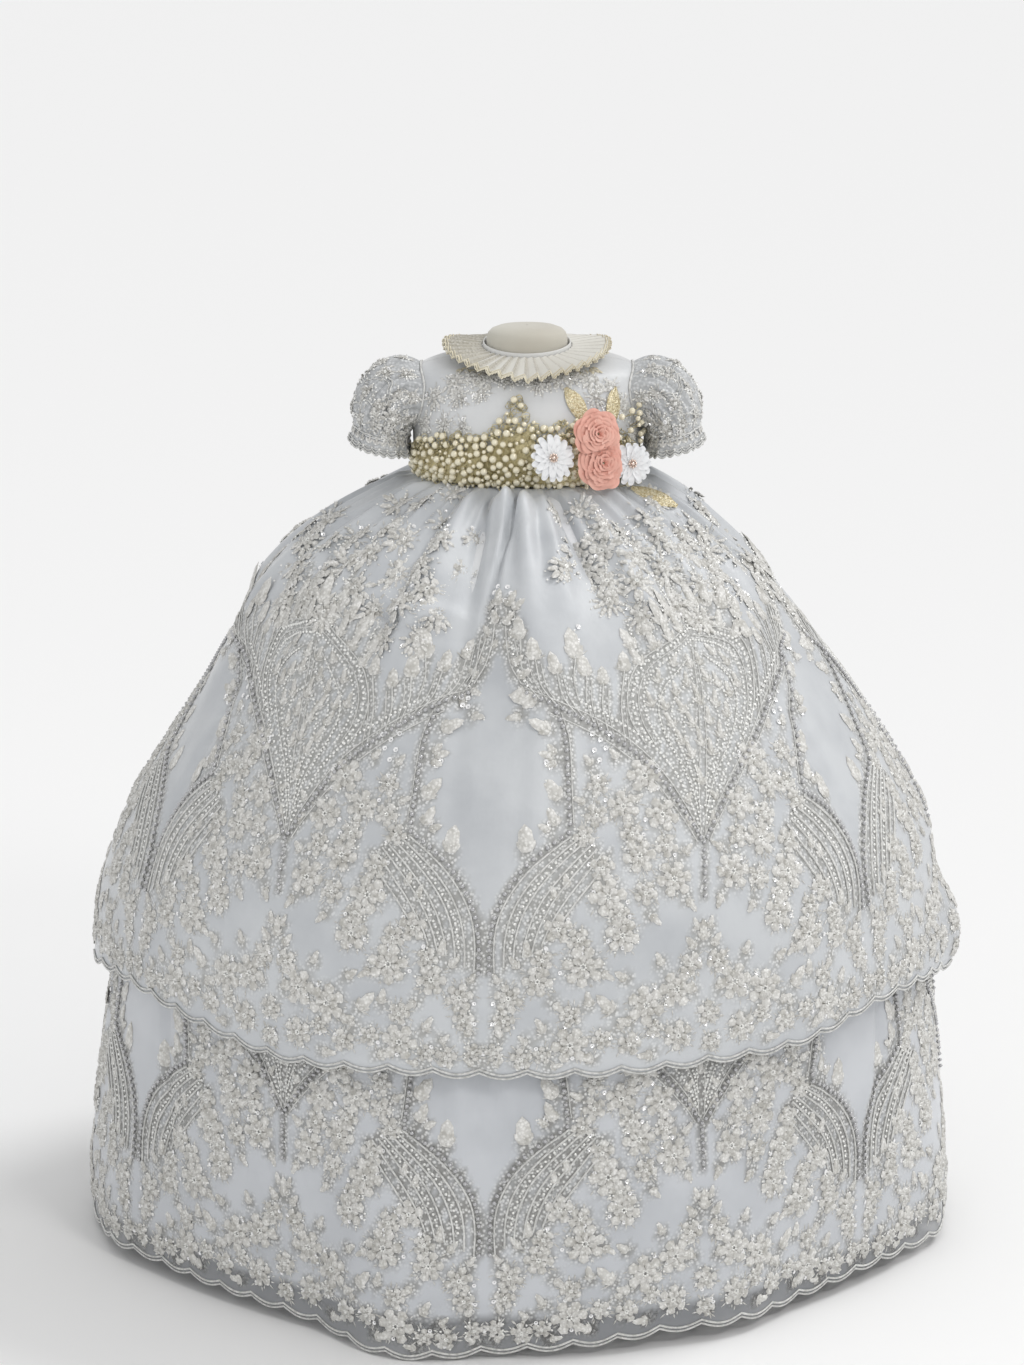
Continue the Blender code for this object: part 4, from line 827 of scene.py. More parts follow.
def on_cloth(cloth, rows):
    """Turn, level, spin and sizes of rows given as a spot with an offset in mm."""
    row = np.array(rows, float)
    turn, level = row[:, 0], row[:, 1]
    at = cloth(turn, level)
    step = 0.002
    across = step / np.linalg.norm(cloth(turn + step, level) - at, axis=-1)
    up = step / np.linalg.norm(cloth(turn, level + step) - at, axis=-1)
    return (turn + row[:, 2] / 1000 * across, level + row[:, 3] / 1000 * up, row[:, 4], row[:, 5] / 1000,
            row[:, 6] / 1000, row[:, 7] / 1000)


def spray(turn, level, reach, lean, kinds):
    """One cut-out spray: a flower, a fan of leaves to one side of it, and beads."""
    lean = math.radians(lean)
    for n in range(6):
        spin = 1.047 * n + lean
        for root, long, wide, high, by in ((0.36, 0.62, 0.56, 1.8, 0.0), (0.10, 0.50, 0.40, 2.6, 0.5)):
            way = spin + by
            grow = chance.uniform(0.78, 1.15)
            strew(kinds["petals"], turn, level, root * reach, way, way + chance.uniform(-0.25, 0.25),
                  long * reach * grow, wide * reach, high)
        strew(kinds["beads"], turn, level, 0.14 * reach, spin, 0, 2.6, 2.6, 3.4)
    for n, by in enumerate((-1.25, -0.8, -0.35, 0.05, 0.45, 0.9, 1.35, 2.6, 3.6)):
        way = lean + by
        root, long = reach * 0.75, reach * (1.15 - 0.2 * abs(by) if abs(by) < 2 else 0.7) * chance.uniform(0.7, 1.1)
        way += chance.uniform(-0.15, 0.15)
        strew(kinds["leaves"], turn, level, root, way, way, long, 0.48 * long, 1.4)
        for reach_by in (0.2, 0.6, 1.0):
            strew(kinds["beads"], turn, level, root + long * reach_by, way, 0, 2.3, 2.3, 2.6)
    for n in range(16):
        way, far = chance.uniform(0, 6.28), reach * chance.uniform(0.8, 1.5)
        strew(kinds["stitches"], turn, level, far, way, way, chance.uniform(3, 7), 1.4, 0.8)
    for n in range(3):
        way, far = chance.uniform(0, 6.28), reach * chance.uniform(0.5, 1.4)
        strew(kinds["sequins"], turn, level, far, way, 0, 4.4, 4.4, 1.6)


LACE_KINDS = {"leaves": (LEAF, thread), "petals": (PETAL, thread), "stitches": (STITCH, thread),
              "beads": (BEAD, pearl_white), "sequins": (SEQUIN, ring_look)}


def sew(name, kinds, cloth):
    for kind, (shape, look) in LACE_KINDS.items():
        if kinds[kind]:
            thing = stamp(name + "_" + kind, shape, *on_cloth(cloth, kinds[kind]), cloth, look)
            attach(thing, "root")


kinds = {kind: [] for kind in LACE_KINDS}
for turn, level, reach, lean in SKIRT_SPRAYS:
    spray(math.radians(turn), level, reach, lean, kinds)
sew("waist_sprays", kinds, upper_cloth)

# Bodice: a satin front and two backs under beaded lace, seamed at the sides and closed down the back.
# The lace is laid in an arc under the collar and down the sides, and the middle stays plain.
ARM_MIDDLE, ARM_HALF, ARM_WIDTH = 0.570, 0.210, math.radians(20)
# Lace on the bodice: turn in degrees, share of the way up, reach in mm, lean in degrees
BODICE_SPRAYS = [
    (-66, 0.44, 7, 200), (-62, 0.60, 8, 160), (-54, 0.72, 9, 140), (-45, 0.79, 9, 100), (-34, 0.78, 9, 190),
    (-24, 0.81, 8, 90), (-14, 0.78, 6, 150), (-46, 0.62, 7, 200), (-33, 0.66, 6, 180), (-52, 0.46, 6, 210),
    (-40, 0.46, 5, 160), (-70, 0.28, 7, 180), (9, 0.73, 6, 200), (19, 0.78, 8, 250), (29, 0.79, 9, 200),
    (40, 0.81, 9, 250), (50, 0.75, 9, 210), (58, 0.66, 8, 200), (64, 0.54, 8, 190), (47, 0.62, 7, 190),
    (53, 0.50, 6, 170), (70, 0.38, 7, 180), (0, 0.80, 5, 180),
]


def armhole_edge(share):
    inside = 1 - ((share - ARM_MIDDLE) / ARM_HALF) ** 2
    return math.pi / 2 - ARM_WIDTH * np.sqrt(np.clip(inside, 0, 1))


bodice_satin = woven(shader("bodice_satin", (0.78, 0.79, 0.80), 0.30, sheen_weight=0.25), (0.69, 0.70, 0.705),
                     (0.61, 0.625, 0.64), 0.0006, 0.0002, 0.0008, 0.02)
arm_low, arm_high = ARM_MIDDLE - ARM_HALF, ARM_MIDDLE + ARM_HALF
shares = np.concatenate([np.linspace(0, arm_low, 10)[:-1],
                         ARM_MIDDLE - ARM_HALF * np.cos(np.linspace(0, math.pi, 30)),
                         np.linspace(arm_high, 1, 11)[1:]])[:, None]
side_gap = SEAM / 2 / smooth(TORSO, 2, shares)
far = math.pi - armhole_edge(shares) + side_gap
back = far + (math.pi - 0.004 - far) * np.linspace(0, 1, 33)[None, :]
for name, angle, flat, area in (("bodice_front", (armhole_edge(shares) - side_gap) * np.linspace(-1, 1, 65)[None, :],
                                 (0.27, 0.15), 0.035),
                                ("bodice_back_right", back, (0.14, 0.15), 0.018),
                                ("bodice_back_left", -back[:, ::-1], (0.14, 0.15), 0.018)):
    panel = piece(name + "_satin", torso(angle, shares + 0 * angle), quads(len(shares), angle.shape[1], False),
                  bodice_satin)
    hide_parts(name)
    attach(panel, "root")
kinds = {kind: [] for kind in LACE_KINDS}
for turn, share, reach, lean in BODICE_SPRAYS:
    spray(math.radians(turn), share, reach, lean, kinds)
    if abs(turn) > 12:
        spray(math.radians(math.copysign(180, turn) - 0.82 * turn), share, reach, -lean, kinds)
sew("bodice_lace", kinds, torso)
for sign in (-1, 1):
    t = np.linspace(0, 1, 81)[:-1]
    share = ARM_MIDDLE - ARM_HALF * np.cos(2 * math.pi * t)
    turn = sign * (math.pi / 2 - ARM_WIDTH * np.sin(2 * math.pi * t))
    piping = joined("armhole_piping_" + ("right" if sign > 0 else "left"),
                    [cord_on(torso, turn, share, 0.0010, 0.0012)], cord_white)
    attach(piping, "root")
BUTTON_HALF, BUTTON_FLAT = 0.0050, 0.30
for number, share in ((1, 0.76), (2, 0.50), (3, 0.24)):
    at, _, _, out = lie(torso, np.array([math.pi]), np.array([share]))
    bpy.ops.mesh.primitive_uv_sphere_add(segments=24, ring_count=12, radius=BUTTON_HALF)
    button = bpy.context.object
    button.name = button.data.name = "back_button_%d_satin" % number
    button.data.transform(Matrix.Diagonal((1, 1, BUTTON_FLAT, 1)))
    way = Vector(out[0]).to_track_quat("Z", "Y").to_matrix().to_4x4()
    button.data.transform(Matrix.Translation(Vector(at[0] + out[0] * 0.0015)) @ way)
    button.data.materials.append(bodice_satin)
    bpy.ops.object.shade_smooth()
    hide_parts("back_button_%d" % number)
    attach(button, "root")

# Sleeves: short puffs of beaded lace over organza, gathered into the armhole and on an elastic line.
# Below the line the lace edge stands out as a small scalloped frill.
CUFF_AT, CUFF_HALF, CUFF_TILT = Vector((0.1395, -0.004, 0.7840)), (0.0250, 0.0450), 0.22
PUFF_UP, PUFF_OUT, SLEEVE_GATHERS, FRILL_DROP = 0.022, 0.040, 12, 0.0150
# Points round a sleeve, scallops of its frill, how much of its organza the lace covers
SLEEVE_ROUND, FRILL_SCALLOPS, SLEEVE_LACE = 144, 24, 0.40
# Depth of the sleeve's gathers, then depth and number of its fine crumples
GATHERED, CRUMPLED, CRUMPLES = 0.0036, 0.0013, 31
# Rows of sprays down a sleeve: level, sprays in the row, reach in mm
SLEEVE_SPRAYS = [(0.16, 8, 5.5), (0.36, 9, 6.5), (0.58, 10, 7.5), (0.82, 12, 6.5)]


def cuff(t, grow, drop):
    u = 2 * math.pi * t
    x, y = -np.cos(u) * (CUFF_HALF[0] + grow), -np.sin(u) * (CUFF_HALF[1] + grow)
    return np.stack([CUFF_AT.x + x, CUFF_AT.y + y, CUFF_AT.z + CUFF_TILT * x - drop], axis=-1)


def puff(t, v):
    share, turn = ARM_MIDDLE - ARM_HALF * np.cos(2 * math.pi * t), math.pi / 2 - ARM_WIDTH * np.sin(2 * math.pi * t)
    head, end = torso(turn, share) + np.array([SEAM + 0.0006, 0, 0]), cuff(t, 0.0, 0.0)
    top = (1 - np.cos(2 * math.pi * t)) / 2
    lift = np.stack([0.003 + (PUFF_OUT - 0.003) * top, -0.004 * np.sin(2 * math.pi * t),
                     -0.003 + (PUFF_UP + 0.003) * top], axis=-1)
    swell = np.stack([-0.001 + 0.013 * top, -0.014 * np.sin(2 * math.pi * t), 0.004 + 0.032 * top], axis=-1)
    a, b, c, d = (1 - v) ** 3, 3 * v * (1 - v) ** 2, 3 * v**2 * (1 - v), v**3
    return (a[..., None] * head + b[..., None] * (head + lift) + c[..., None] * (end + swell) + d[..., None] * end)


def right_puff(u, v):
    at, _, _, out = lie(lambda t, w: puff(1 - t, w), u, v)
    pull = (GATHERED * (0.5 + 0.5 * np.cos(2 * math.pi * SLEEVE_GATHERS * (u + 0.03 * np.sin(5 * v))))
            + CRUMPLED * np.cos(2 * math.pi * CRUMPLES * u)) * np.clip(4 * v * (1 - v), 0, 1) ** 0.6
    return at - out * pull[..., None]


def right_frill(u, v):
    wave, scallops = np.cos(2 * math.pi * SLEEVE_GATHERS * u), np.abs(np.sin(math.pi * FRILL_SCALLOPS * u))
    return cuff(1 - u, 0.004 * v**0.5 + 0.0018 * v * wave, SEAM + (FRILL_DROP - 0.003 + 0.003 * scallops) * v)


def mirrored(surface):
    return lambda u, v: surface(1 - u, v) * np.array([-1, 1, 1])


for side, surface, frill in (("right", right_puff, right_frill), ("left", mirrored(right_puff), mirrored(right_frill))):
    u = (np.arange(SLEEVE_ROUND) / SLEEVE_ROUND)[None, :]
    v = np.linspace(0.001, 0.999, 36)[:, None]
    sleeve = piece("sleeve_%s_organza" % side, surface(u + 0 * v, v + 0 * u), quads(36, SLEEVE_ROUND, True), organza)
    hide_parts("sleeve_" + side)
    v = np.linspace(0.001, 1, 9)[:, None]
    edge = piece("sleeve_frill_%s_organza" % side, frill(u + 0 * v, v + 0 * u), quads(9, SLEEVE_ROUND, True), organza)
    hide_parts("sleeve_frill_" + side)
    for cloth_piece in (sleeve, edge):
        # The lace share also sets how much painted bead highlight and gap shade the organza gets
        mask = cloth_piece.data.attributes.new("lace", "FLOAT", "POINT")
        mask.data.foreach_set("value", [SLEEVE_LACE] * len(cloth_piece.data.vertices))
        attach(cloth_piece, "root")
    kinds = {kind: [] for kind in LACE_KINDS}
    for row, (level, count, reach) in enumerate(SLEEVE_SPRAYS):
        for n in range(count):
            spray((n + 0.5 * (row % 2)) / count + chance.uniform(-0.012, 0.012), level + chance.uniform(-0.03, 0.03),
                  reach, chance.uniform(0, 360), kinds)
    sew("sleeve_%s_lace" % side, kinds, surface)
    kinds = {kind: [] for kind in LACE_KINDS}
    for n in range(FRILL_SCALLOPS):
        for way, long in ((-0.7, 6.0), (0.0, 8.5), (0.7, 6.0)):
            kinds["leaves"].append(((n + 0.5) / FRILL_SCALLOPS, 0.35, 0, 0, math.pi + way, long, 3.0, 0.9))
        kinds["beads"].append(((n + 0.5) / FRILL_SCALLOPS, 0.30, 0, 0, 0, 2.4, 2.4, 2.6))
        kinds["beads"].append((n / FRILL_SCALLOPS, 0.72, 0, 0, 0, 2.2, 2.2, 2.4))
    sew("sleeve_frill_%s_lace" % side, kinds, frill)
    lines = []
    u = np.arange(SLEEVE_ROUND) / SLEEVE_ROUND
    for surface_of, level, half in ((surface, 0.97, 0.0010), (frill, 0.995, 0.0010), (frill, 0.80, 0.0007),
                                    (frill, 0.62, 0.0005)):
        lines.append(cord_on(surface_of, u, level + 0 * u, 0.0008, half, 4))
    for level, swing, half in ((0.42, 0.10, 0.0008), (0.46, 0.10, 0.0006), (0.70, 0.06, 0.0007)):
        lines.append(cord_on(surface, u, level + swing * np.sin(2 * math.pi * 5 * u), 0.0006, half, 4))
    thing = joined("sleeve_%s_cords" % side, lines, cord_white)
    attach(thing, "root")

# Neck band: a doubled strip of white satin ribbon standing on the neckline
ribbon = woven(shader("satin_ribbon", (0.72, 0.72, 0.71), 0.28, sheen_weight=0.2),
               (0.74, 0.74, 0.73), (0.66, 0.66, 0.64), 0.0005, 0.0002)
BAND_HEIGHT, BAND_WALL = 0.0120, 0.0018
around = turns(144)[None, :]
rise = np.array([0.0, 0.25, 0.5, 0.75, 0.93, 1.0, 1.0, 0.93, 0.5, 0.0])[:, None]
inset = np.array([0.0, 0.0, 0.0, 0.0, 0.0002, 0.0006, 0.0012, BAND_WALL, BAND_WALL, BAND_WALL])[:, None]
band = torso(around + 0 * rise, 1.0 + 0 * (around + rise))
reach = np.hypot(band[..., 0], band[..., 1])
band[..., :2] *= ((1 - 0.02 * rise) - inset / reach)[..., None]
band[..., 2] += SEAM + BAND_HEIGHT * rise
neck_band = piece("neck_band_ribbon", band, quads(10, 144, True), ribbon)
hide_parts("neck_band")
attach(neck_band, "root")

# Collar: ivory organza in knife pleats, sewn into the foot of the neck band, with a narrow gold lace edge
COLLAR_PLEATS, COLLAR_HALF, COLLAR_LIFT, PLEAT_DEPTH = 40, (0.0780, 0.0790, 0.0720), 0.0110, 0.0058
COLLAR_FOOT, COLLAR_DROP = 0.0060, 0.0140
# Height of the collar's seam, how far the edge dips all round, rise towards the back, thickness
COLLAR_SEAM, COLLAR_DIP, COLLAR_SLOPE, COLLAR_WALL = 0.8612, 0.0030, 0.145, 0.0012
# Shares of a pleat that climb and that fold back
PLEAT_CLIMB, PLEAT_BACK = 0.80, 0.20
pleated = woven(shader("pleated_organza", (0.80, 0.78, 0.71), 0.42, sheen_weight=0.3),
                (0.76, 0.75, 0.70), (0.68, 0.66, 0.60), 0.0006, 0.0002, 0.0005, 0.012)
# Painted shade in the hollow under each pleat, where the fold attribute is high
tint(pleated, "fold", (0.34, 0.31, 0.24), (0.46, 0.43, 0.36), 0.75)
gold_lace = woven(shader("gold_lace", (0.70, 0.63, 0.45), 0.45, sheen_weight=0.2, metallic=0.15), (0.80, 0.75, 0.60),
                  (0.58, 0.51, 0.36), 0.0006, 0.0003)


def collar_cloth(turn, out):
    foot = torso(turn, 1.0 + 0 * turn)
    foot_reach = np.hypot(foot[..., 0], foot[..., 1]) + SEAM
    rim = oval(turn, COLLAR_HALF[0], COLLAR_HALF[0], COLLAR_HALF[1], COLLAR_HALF[2])
    phase = (turn * COLLAR_PLEATS / (2 * math.pi)) % 1.0
    knife = np.where(phase < PLEAT_CLIMB, phase / PLEAT_CLIMB, (1 - phase) / PLEAT_BACK)
    fall = COLLAR_DROP * bump(np.clip(1 + np.cos(turn), 0, 1) ** 0.8) * out**1.5
    at = ring(turn, foot_reach + (rim - foot_reach) * out, 0.0)
    at[..., 2] = (COLLAR_SEAM + COLLAR_FOOT * (1 - out) - COLLAR_DIP * out + COLLAR_LIFT * np.abs(np.sin(turn)) * out
                  - fall + COLLAR_SLOPE * at[..., 1] + (0.25 + 0.75 * out) * PLEAT_DEPTH * (knife - 0.5))
    return at


around = turns(400)[None, :]
out_by = np.linspace(1, 0, 12)[:, None]
top_side = collar_cloth(around + 0 * out_by, out_by + 0 * around)
under_side = top_side[::-1] - np.array([0, 0, COLLAR_WALL])
collar = piece("collar_organza", np.concatenate([under_side, top_side]), quads(24, 400, True), pleated)
phase = (around * COLLAR_PLEATS / (2 * math.pi)) % 1.0
# Painted shade of the pleats: high where each pleat folds back and just past it, none across most of its top
pleat_shade = np.clip((phase - 0.72) / 0.10, 0, 1) + 0.55 * np.clip((0.22 - phase) / 0.22, 0, 1) + 0 * np.arange(24)[:, None]
collar.data.attributes.new("fold", "FLOAT", "POINT").data.foreach_set("value", pleat_shade.ravel())
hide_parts("collar")
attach(collar, "root")
around = turns(400)
rim = collar_cloth(around, 1.0 + 0 * around)
lines = [cord_line(rim + [0, 0, -0.0004], True, 0.0009),
         cord_line(collar_cloth(around, 0.93 + 0 * around) + [0, 0, 0.0004], True, 0.0006)]
EDGE_LOOPS, LOOP_REACH = 160, 0.075
loops = turns(EDGE_LOOPS * 8)
loop = collar_cloth(loops, 1.0 + LOOP_REACH * np.abs(np.sin(loops * EDGE_LOOPS / 2)))
lines.append(cord_line(loop + [0, 0, -0.0004], True, 0.0006, 4))
edge = joined("collar_gold_edge", lines, gold_lace)
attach(edge, "root")
rows = []
for turn in np.radians(np.arange(-60, 62, 1.1)):
    rows.append((turn, 0.865 + chance.uniform(-0.03, 0.02), 0, 0, math.pi + chance.uniform(-0.9, 0.9),
                 chance.uniform(5, 9), 3.0, 1.0))
yoke = stamp("yoke_gold_lace", LEAF, *on_cloth(torso, rows), torso, gold_lace)
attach(yoke, "root")

# Belt: a wired ribbon of pale gold thread, heaped with pearls to the left and middle of the front
gold_thread = woven(shader("gold_thread", (0.70, 0.63, 0.40), 0.32, metallic=0.40),
                    (0.80, 0.72, 0.46), (0.47, 0.40, 0.20), 0.0008, 0.0006, 0.0012, 0.003)
pearl_gold = shader("ivory_gold_pearl", (0.84, 0.78, 0.60), 0.15, metallic=0.15, coat_weight=0.7, coat_roughness=0.08)
# Spray outline: turn in degrees, foot and top as shares up the bodice, thickness
SPRAY = [
    (-82, 0.02, 0.20, 0.003), (-66, 0.01, 0.31, 0.006), (-42, 0.01, 0.36, 0.008), (-22, 0.01, 0.40, 0.009),
    (-7, 0.01, 0.57, 0.007), (8, 0.01, 0.44, 0.004), (30, 0.01, 0.46, 0.003), (52, 0.01, 0.40, 0.003),
    (74, 0.02, 0.20, 0.004),
]
around = turns(180)[None, :]
share = np.array([0.006, 0.006, 0.03, 0.06, 0.09, 0.11, 0.11])[:, None]
proud = np.array([0.0003, 0.0017, 0.0019, 0.0019, 0.0019, 0.0017, 0.0003])[:, None]
at, _, _, out = lie(torso, around + 0 * share, share + 0 * around)
band = piece("belt_ribbon", at + out * proud[..., None], quads(7, 180, True), gold_thread)
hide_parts("belt_band")
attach(band, "root")
degrees = np.linspace(-82, 74, 120)[None, :]
foot, top, thick = (smooth(SPRAY, k, degrees) for k in (1, 2, 3))
ragged = 0.84 + 0.08 * np.sin(0.9 * degrees) + 0.06 * np.sin(0.37 * degrees + 1)
level = np.linspace(0, 1, 24)[:, None]
turn, share = np.radians(degrees) + 0 * level, foot + (top - foot) * level * ragged
at, _, _, out = lie(torso, turn, share)
rough = 0.5 + 0.5 * np.sin(111 * turn + 11 * level) * np.cos(29 * level + 23 * turn)
body = 0.0022 + thick * bump((level - 0.45) / 0.62) * (0.25 + 0.30 * rough)
mat = piece("belt_thread_mat", at + out * body[..., None], quads(24, 120, False), gold_thread)
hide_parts("belt_pearls")
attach(mat, "root")
ROUND_PEARL = ball(2, 0.2)
# Clusters beside and below the flowers: turn, share of the way up, how far out, pearls
CLUSTERS = [
    (67, 0.44, 0.010, 22), (76, 0.36, 0.008, 12), (34, 0.06, 0.014, 18), (61, 0.03, 0.016, 14), (20, 0.12, 0.010, 12),
]
# Pearls tried in the spray, loops of thread, then pearl sizes and the share of each
PEARL_TRIES, THREAD_LOOPS = 1500, 480
PEARL_SIZES, PEARL_SHARES = [0.0034, 0.0042, 0.0052, 0.0062, 0.0072], [0.16, 0.20, 0.24, 0.24, 0.16]
strung, wires = [], []
for n in range(PEARL_TRIES):
    where, up = chance.uniform(-82, 74), chance.uniform(-0.04, 1.08)
    if (where > 30 and chance.uniform(0, 1) > 0.5) or (up > 0.85 and chance.uniform(0, 1) > 0.7):
        continue
    foot, top, thick = (float(smooth(SPRAY, k, where)) for k in (1, 2, 3))
    size = chance.choice(PEARL_SIZES, p=PEARL_SHARES)
    high = 0.0030 + thick * float(bump((up - 0.45) / 0.75)) * chance.uniform(0.5, 1.0)
    strung.append((math.radians(where), max(0.004, foot + (top - foot) * up), size, high))
for where, share, high, count in CLUSTERS:
    for n in range(count):
        strung.append((math.radians(where + chance.normal(0, 3.5)), max(0.004, share + chance.normal(0, 0.035)),
                       chance.uniform(0.0040, 0.0066), high + chance.uniform(-0.003, 0.003)))
kept = []
for turn, share, size, high in sorted(strung, key=lambda row: -row[2]):
    spot = np.array([turn * 0.098, share * 0.125])
    if all(np.hypot(*(spot - other[0])) > 0.46 * (size + other[1]) for other in kept):
        kept.append((spot, size, turn, share, high))
at, across, up, out = lie(torso, np.array([row[2] for row in kept]), np.array([row[3] for row in kept]))
for n, row in enumerate(kept):
    sway = chance.uniform(-0.006, 0.006, 2)
    root = at[n] + out[n] * 0.0018 + across[n] * sway[0] - up[n] * abs(sway[1])
    tip = at[n] + out[n] * row[4]
    wires.append(cord_line(np.array([root, (root + tip) / 2 + out[n] * 0.002, tip]), False, 0.0005, 3))
# Loops of gold thread stand out round the pearls and make the outline fuzzy
edges = chance.uniform(-84, 76, THREAD_LOOPS)
foot, top, thick = (smooth(SPRAY, k, edges) for k in (1, 2, 3))
rise = np.where(chance.uniform(0, 1, THREAD_LOOPS) < 0.5, chance.uniform(0.85, 1.12, THREAD_LOOPS),
                chance.uniform(0, 1, THREAD_LOOPS))
at_loop, across, up, out_loop = lie(torso, np.radians(edges), foot + (top - foot) * rise)
angle = turns(9)[:, None]
for n in range(THREAD_LOOPS):
    lean, size = chance.uniform(0, 6.28), chance.uniform(0.0020, 0.0042)
    side = across[n] * math.cos(lean) + up[n] * math.sin(lean)
    other = 0.7 * out_loop[n] + 0.7 * (up[n] * math.cos(lean) - across[n] * math.sin(lean))
    middle = at_loop[n] + out_loop[n] * (0.0030 + thick[n] * 0.6 * float(bump((rise[n] - 0.45) / 0.75)))
    wires.append(cord_line(middle + size * (np.cos(angle) * side + np.sin(angle) * other), True, 0.0004, 3))
belt_wires = joined("belt_wires", wires, gold_thread)
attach(belt_wires, "root")
spots = at + out * np.array([row[4] for row in kept])[:, None]
points = spots[:, None] + ROUND_PEARL[0][None] * np.array([row[1] for row in kept])[:, None, None]
belt_beads = piece("belt_pearl_beads", points.reshape(-1, 3), repeated(ROUND_PEARL, len(spots)), pearl_gold)
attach(belt_beads, "root")

# Chiffon roses and felt daisies: wired on over the pearls, all facing the same way
FACING = Vector((0.36, -0.90, 0.20)).normalized()
SIDE = FACING.cross(Vector((0, 0, -1))).normalized()
UP = SIDE.cross(FACING) * -1
CENTRES = {
    "rose_upper": Vector((0.0640, -0.0930, 0.7970)),
    "rose_lower": Vector((0.0690, -0.0910, 0.7690)),
    "daisy_left": Vector((0.0235, -0.1020, 0.7760)),
    "daisy_right": Vector((0.0980, -0.0720, 0.7650)),
}
chiffon = woven(shader("pink_chiffon", (0.84, 0.47, 0.40), 0.65, sheen_weight=0.5),
                (0.86, 0.48, 0.39), (0.78, 0.38, 0.30), 0.0006, 0.0002, 0.0003, 0.004, 60.0)
felt = woven(shader("white_felt", (0.90, 0.91, 0.92), 0.7, sheen_weight=0.3), (0.92, 0.93, 0.94), (0.85, 0.86, 0.88),
             0.0007, 0.0003)
stone_look = shader("rose_gold_stone", (0.80, 0.66, 0.58), 0.12, metallic=0.8, coat_weight=0.6)


def pressed(at, radius, others, angle):
    """Reach of a flower at an angle, cut short half way to each neighbour."""
    reach = radius + 0 * angle
    for other in others:
        gap = other - at
        x, y = gap.dot(SIDE), gap.dot(UP)
        toward = np.cos(angle - math.atan2(y, x))
        reach = np.minimum(reach, (math.hypot(x, y) / 2 + 0.0012) / np.maximum(toward, 0.05))
    return reach


def place(at, angle, far, high):
    side, up, out = (np.array(v) for v in (SIDE, UP, FACING))
    return (np.array(at) + (far * np.cos(angle))[..., None] * side + (far * np.sin(angle))[..., None] * up
            + high[..., None] * out)


# Rings of petals, outermost first: petals, reach at the root and the edge, height at the root and the edge
ROSE_RINGS = [
    (7, 0.006, 0.0245, 0.0000, 0.0050), (7, 0.006, 0.0215, 0.0015, 0.0075), (6, 0.005, 0.0180, 0.0025, 0.0095),
    (6, 0.004, 0.0145, 0.0040, 0.0115), (5, 0.003, 0.0110, 0.0050, 0.0128), (4, 0.002, 0.0078, 0.0060, 0.0138),
    (3, 0.001, 0.0048, 0.0070, 0.0142),
]
for name, radius in (("rose_upper", 0.0240), ("rose_lower", 0.0260)):
    at = CENTRES[name]
    others = [spot for key, spot in CENTRES.items() if key != name]
    parts = []
    u, w = np.linspace(-1, 1, 17)[None, :], np.linspace(0, 1, 9)[:, None]
    for level, (count, root, edge, low_by, high_by) in enumerate(ROSE_RINGS):
        for n in range(count):
            middle = 2 * math.pi * (n + 0.37 * level) / count + chance.uniform(-0.15, 0.15)
            half = math.pi / count * 1.35
            angle = middle + u * half * (0.75 + 0.25 * w)
            ruffle = (np.sin(3.5 * u + chance.uniform(0, 6)) + 0.2 * np.sin(7 * u + chance.uniform(0, 6))) * w**2
            far = root + (edge * radius / 0.0245 - root) * w * (1 - 0.18 * u**2) + 0.0007 * ruffle
            far = np.minimum(far, pressed(at, 1.0, others, angle))
            high = (low_by + (high_by - low_by) * w**0.8 - 0.0022 * w**6 + 0.0011 * ruffle + 0.0016 * u**2 * w
                    + 0.0008 * (n % 2))
            parts.append((place(at, angle, far, high).reshape(-1, 3), quads(9, 17, False)))
    rose = joined(name + "_chiffon", parts, chiffon)
    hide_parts(name)
    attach(rose, "root")
for name, radius in (("daisy_left", 0.0230), ("daisy_right", 0.0210)):
    at = CENTRES[name]
    others = [spot for key, spot in CENTRES.items() if key != name]
    parts = []
    u, w = np.linspace(-1, 1, 7)[None, :], np.linspace(0, 1, 9)[:, None]
    for level, (count, share, lift) in enumerate(((15, 1.0, 0.0002), (13, 0.86, 0.0016))):
        for n in range(count):
            middle = 2 * math.pi * (n + 0.5 * level) / count + chance.uniform(-0.05, 0.05)
            wide = 0.0042 * (0.35 + 0.65 * np.sin(math.pi * np.clip(0.12 + 0.80 * w, 0, 1)) ** 0.7)
            far = 0.002 + (radius * share * chance.uniform(0.93, 1.02) - 0.002) * w * (1 - 0.05 * u**2)
            angle = middle + u * wide / np.maximum(far, 0.004)
            far = np.minimum(far, pressed(at, 1.0, others, angle))
            high = lift + 0.0022 * w + 0.0010 * u**2 - 0.0012 * w**4 + chance.uniform(-0.0004, 0.0006) * w
            parts.append((place(at, angle, far, high).reshape(-1, 3), quads(9, 7, False)))
    daisy = joined(name + "_felt", parts, felt)
    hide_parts(name)
    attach(daisy, "root")
    centre = at + FACING * 0.0036
    parts = []
    for n in range(9):
        angle = np.array([2 * math.pi * n / 8])
        far, size = (np.array([0.0034]), 0.0026) if n < 8 else (np.array([0.0]), 0.0044)
        spot = place(centre, angle, far, np.array([0.0004]))[0]
        parts.append((spot + (ROUND_PEARL[0] - [0, 0, 0.2]) * size, ROUND_PEARL[1]))
    stone = joined(name + "_stones", parts, stone_look)
    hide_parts(name + "_stone")
    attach(stone, "root")

# Gold leaves: stiff gold lace, tucked in behind the roses
gold_glitter = woven(shader("gold_glitter", (0.74, 0.64, 0.40), 0.25, metallic=0.55), (0.88, 0.80, 0.58),
                     (0.50, 0.40, 0.20), 0.0008, 0.0006, 0.0016, 0.0016, 500.0)
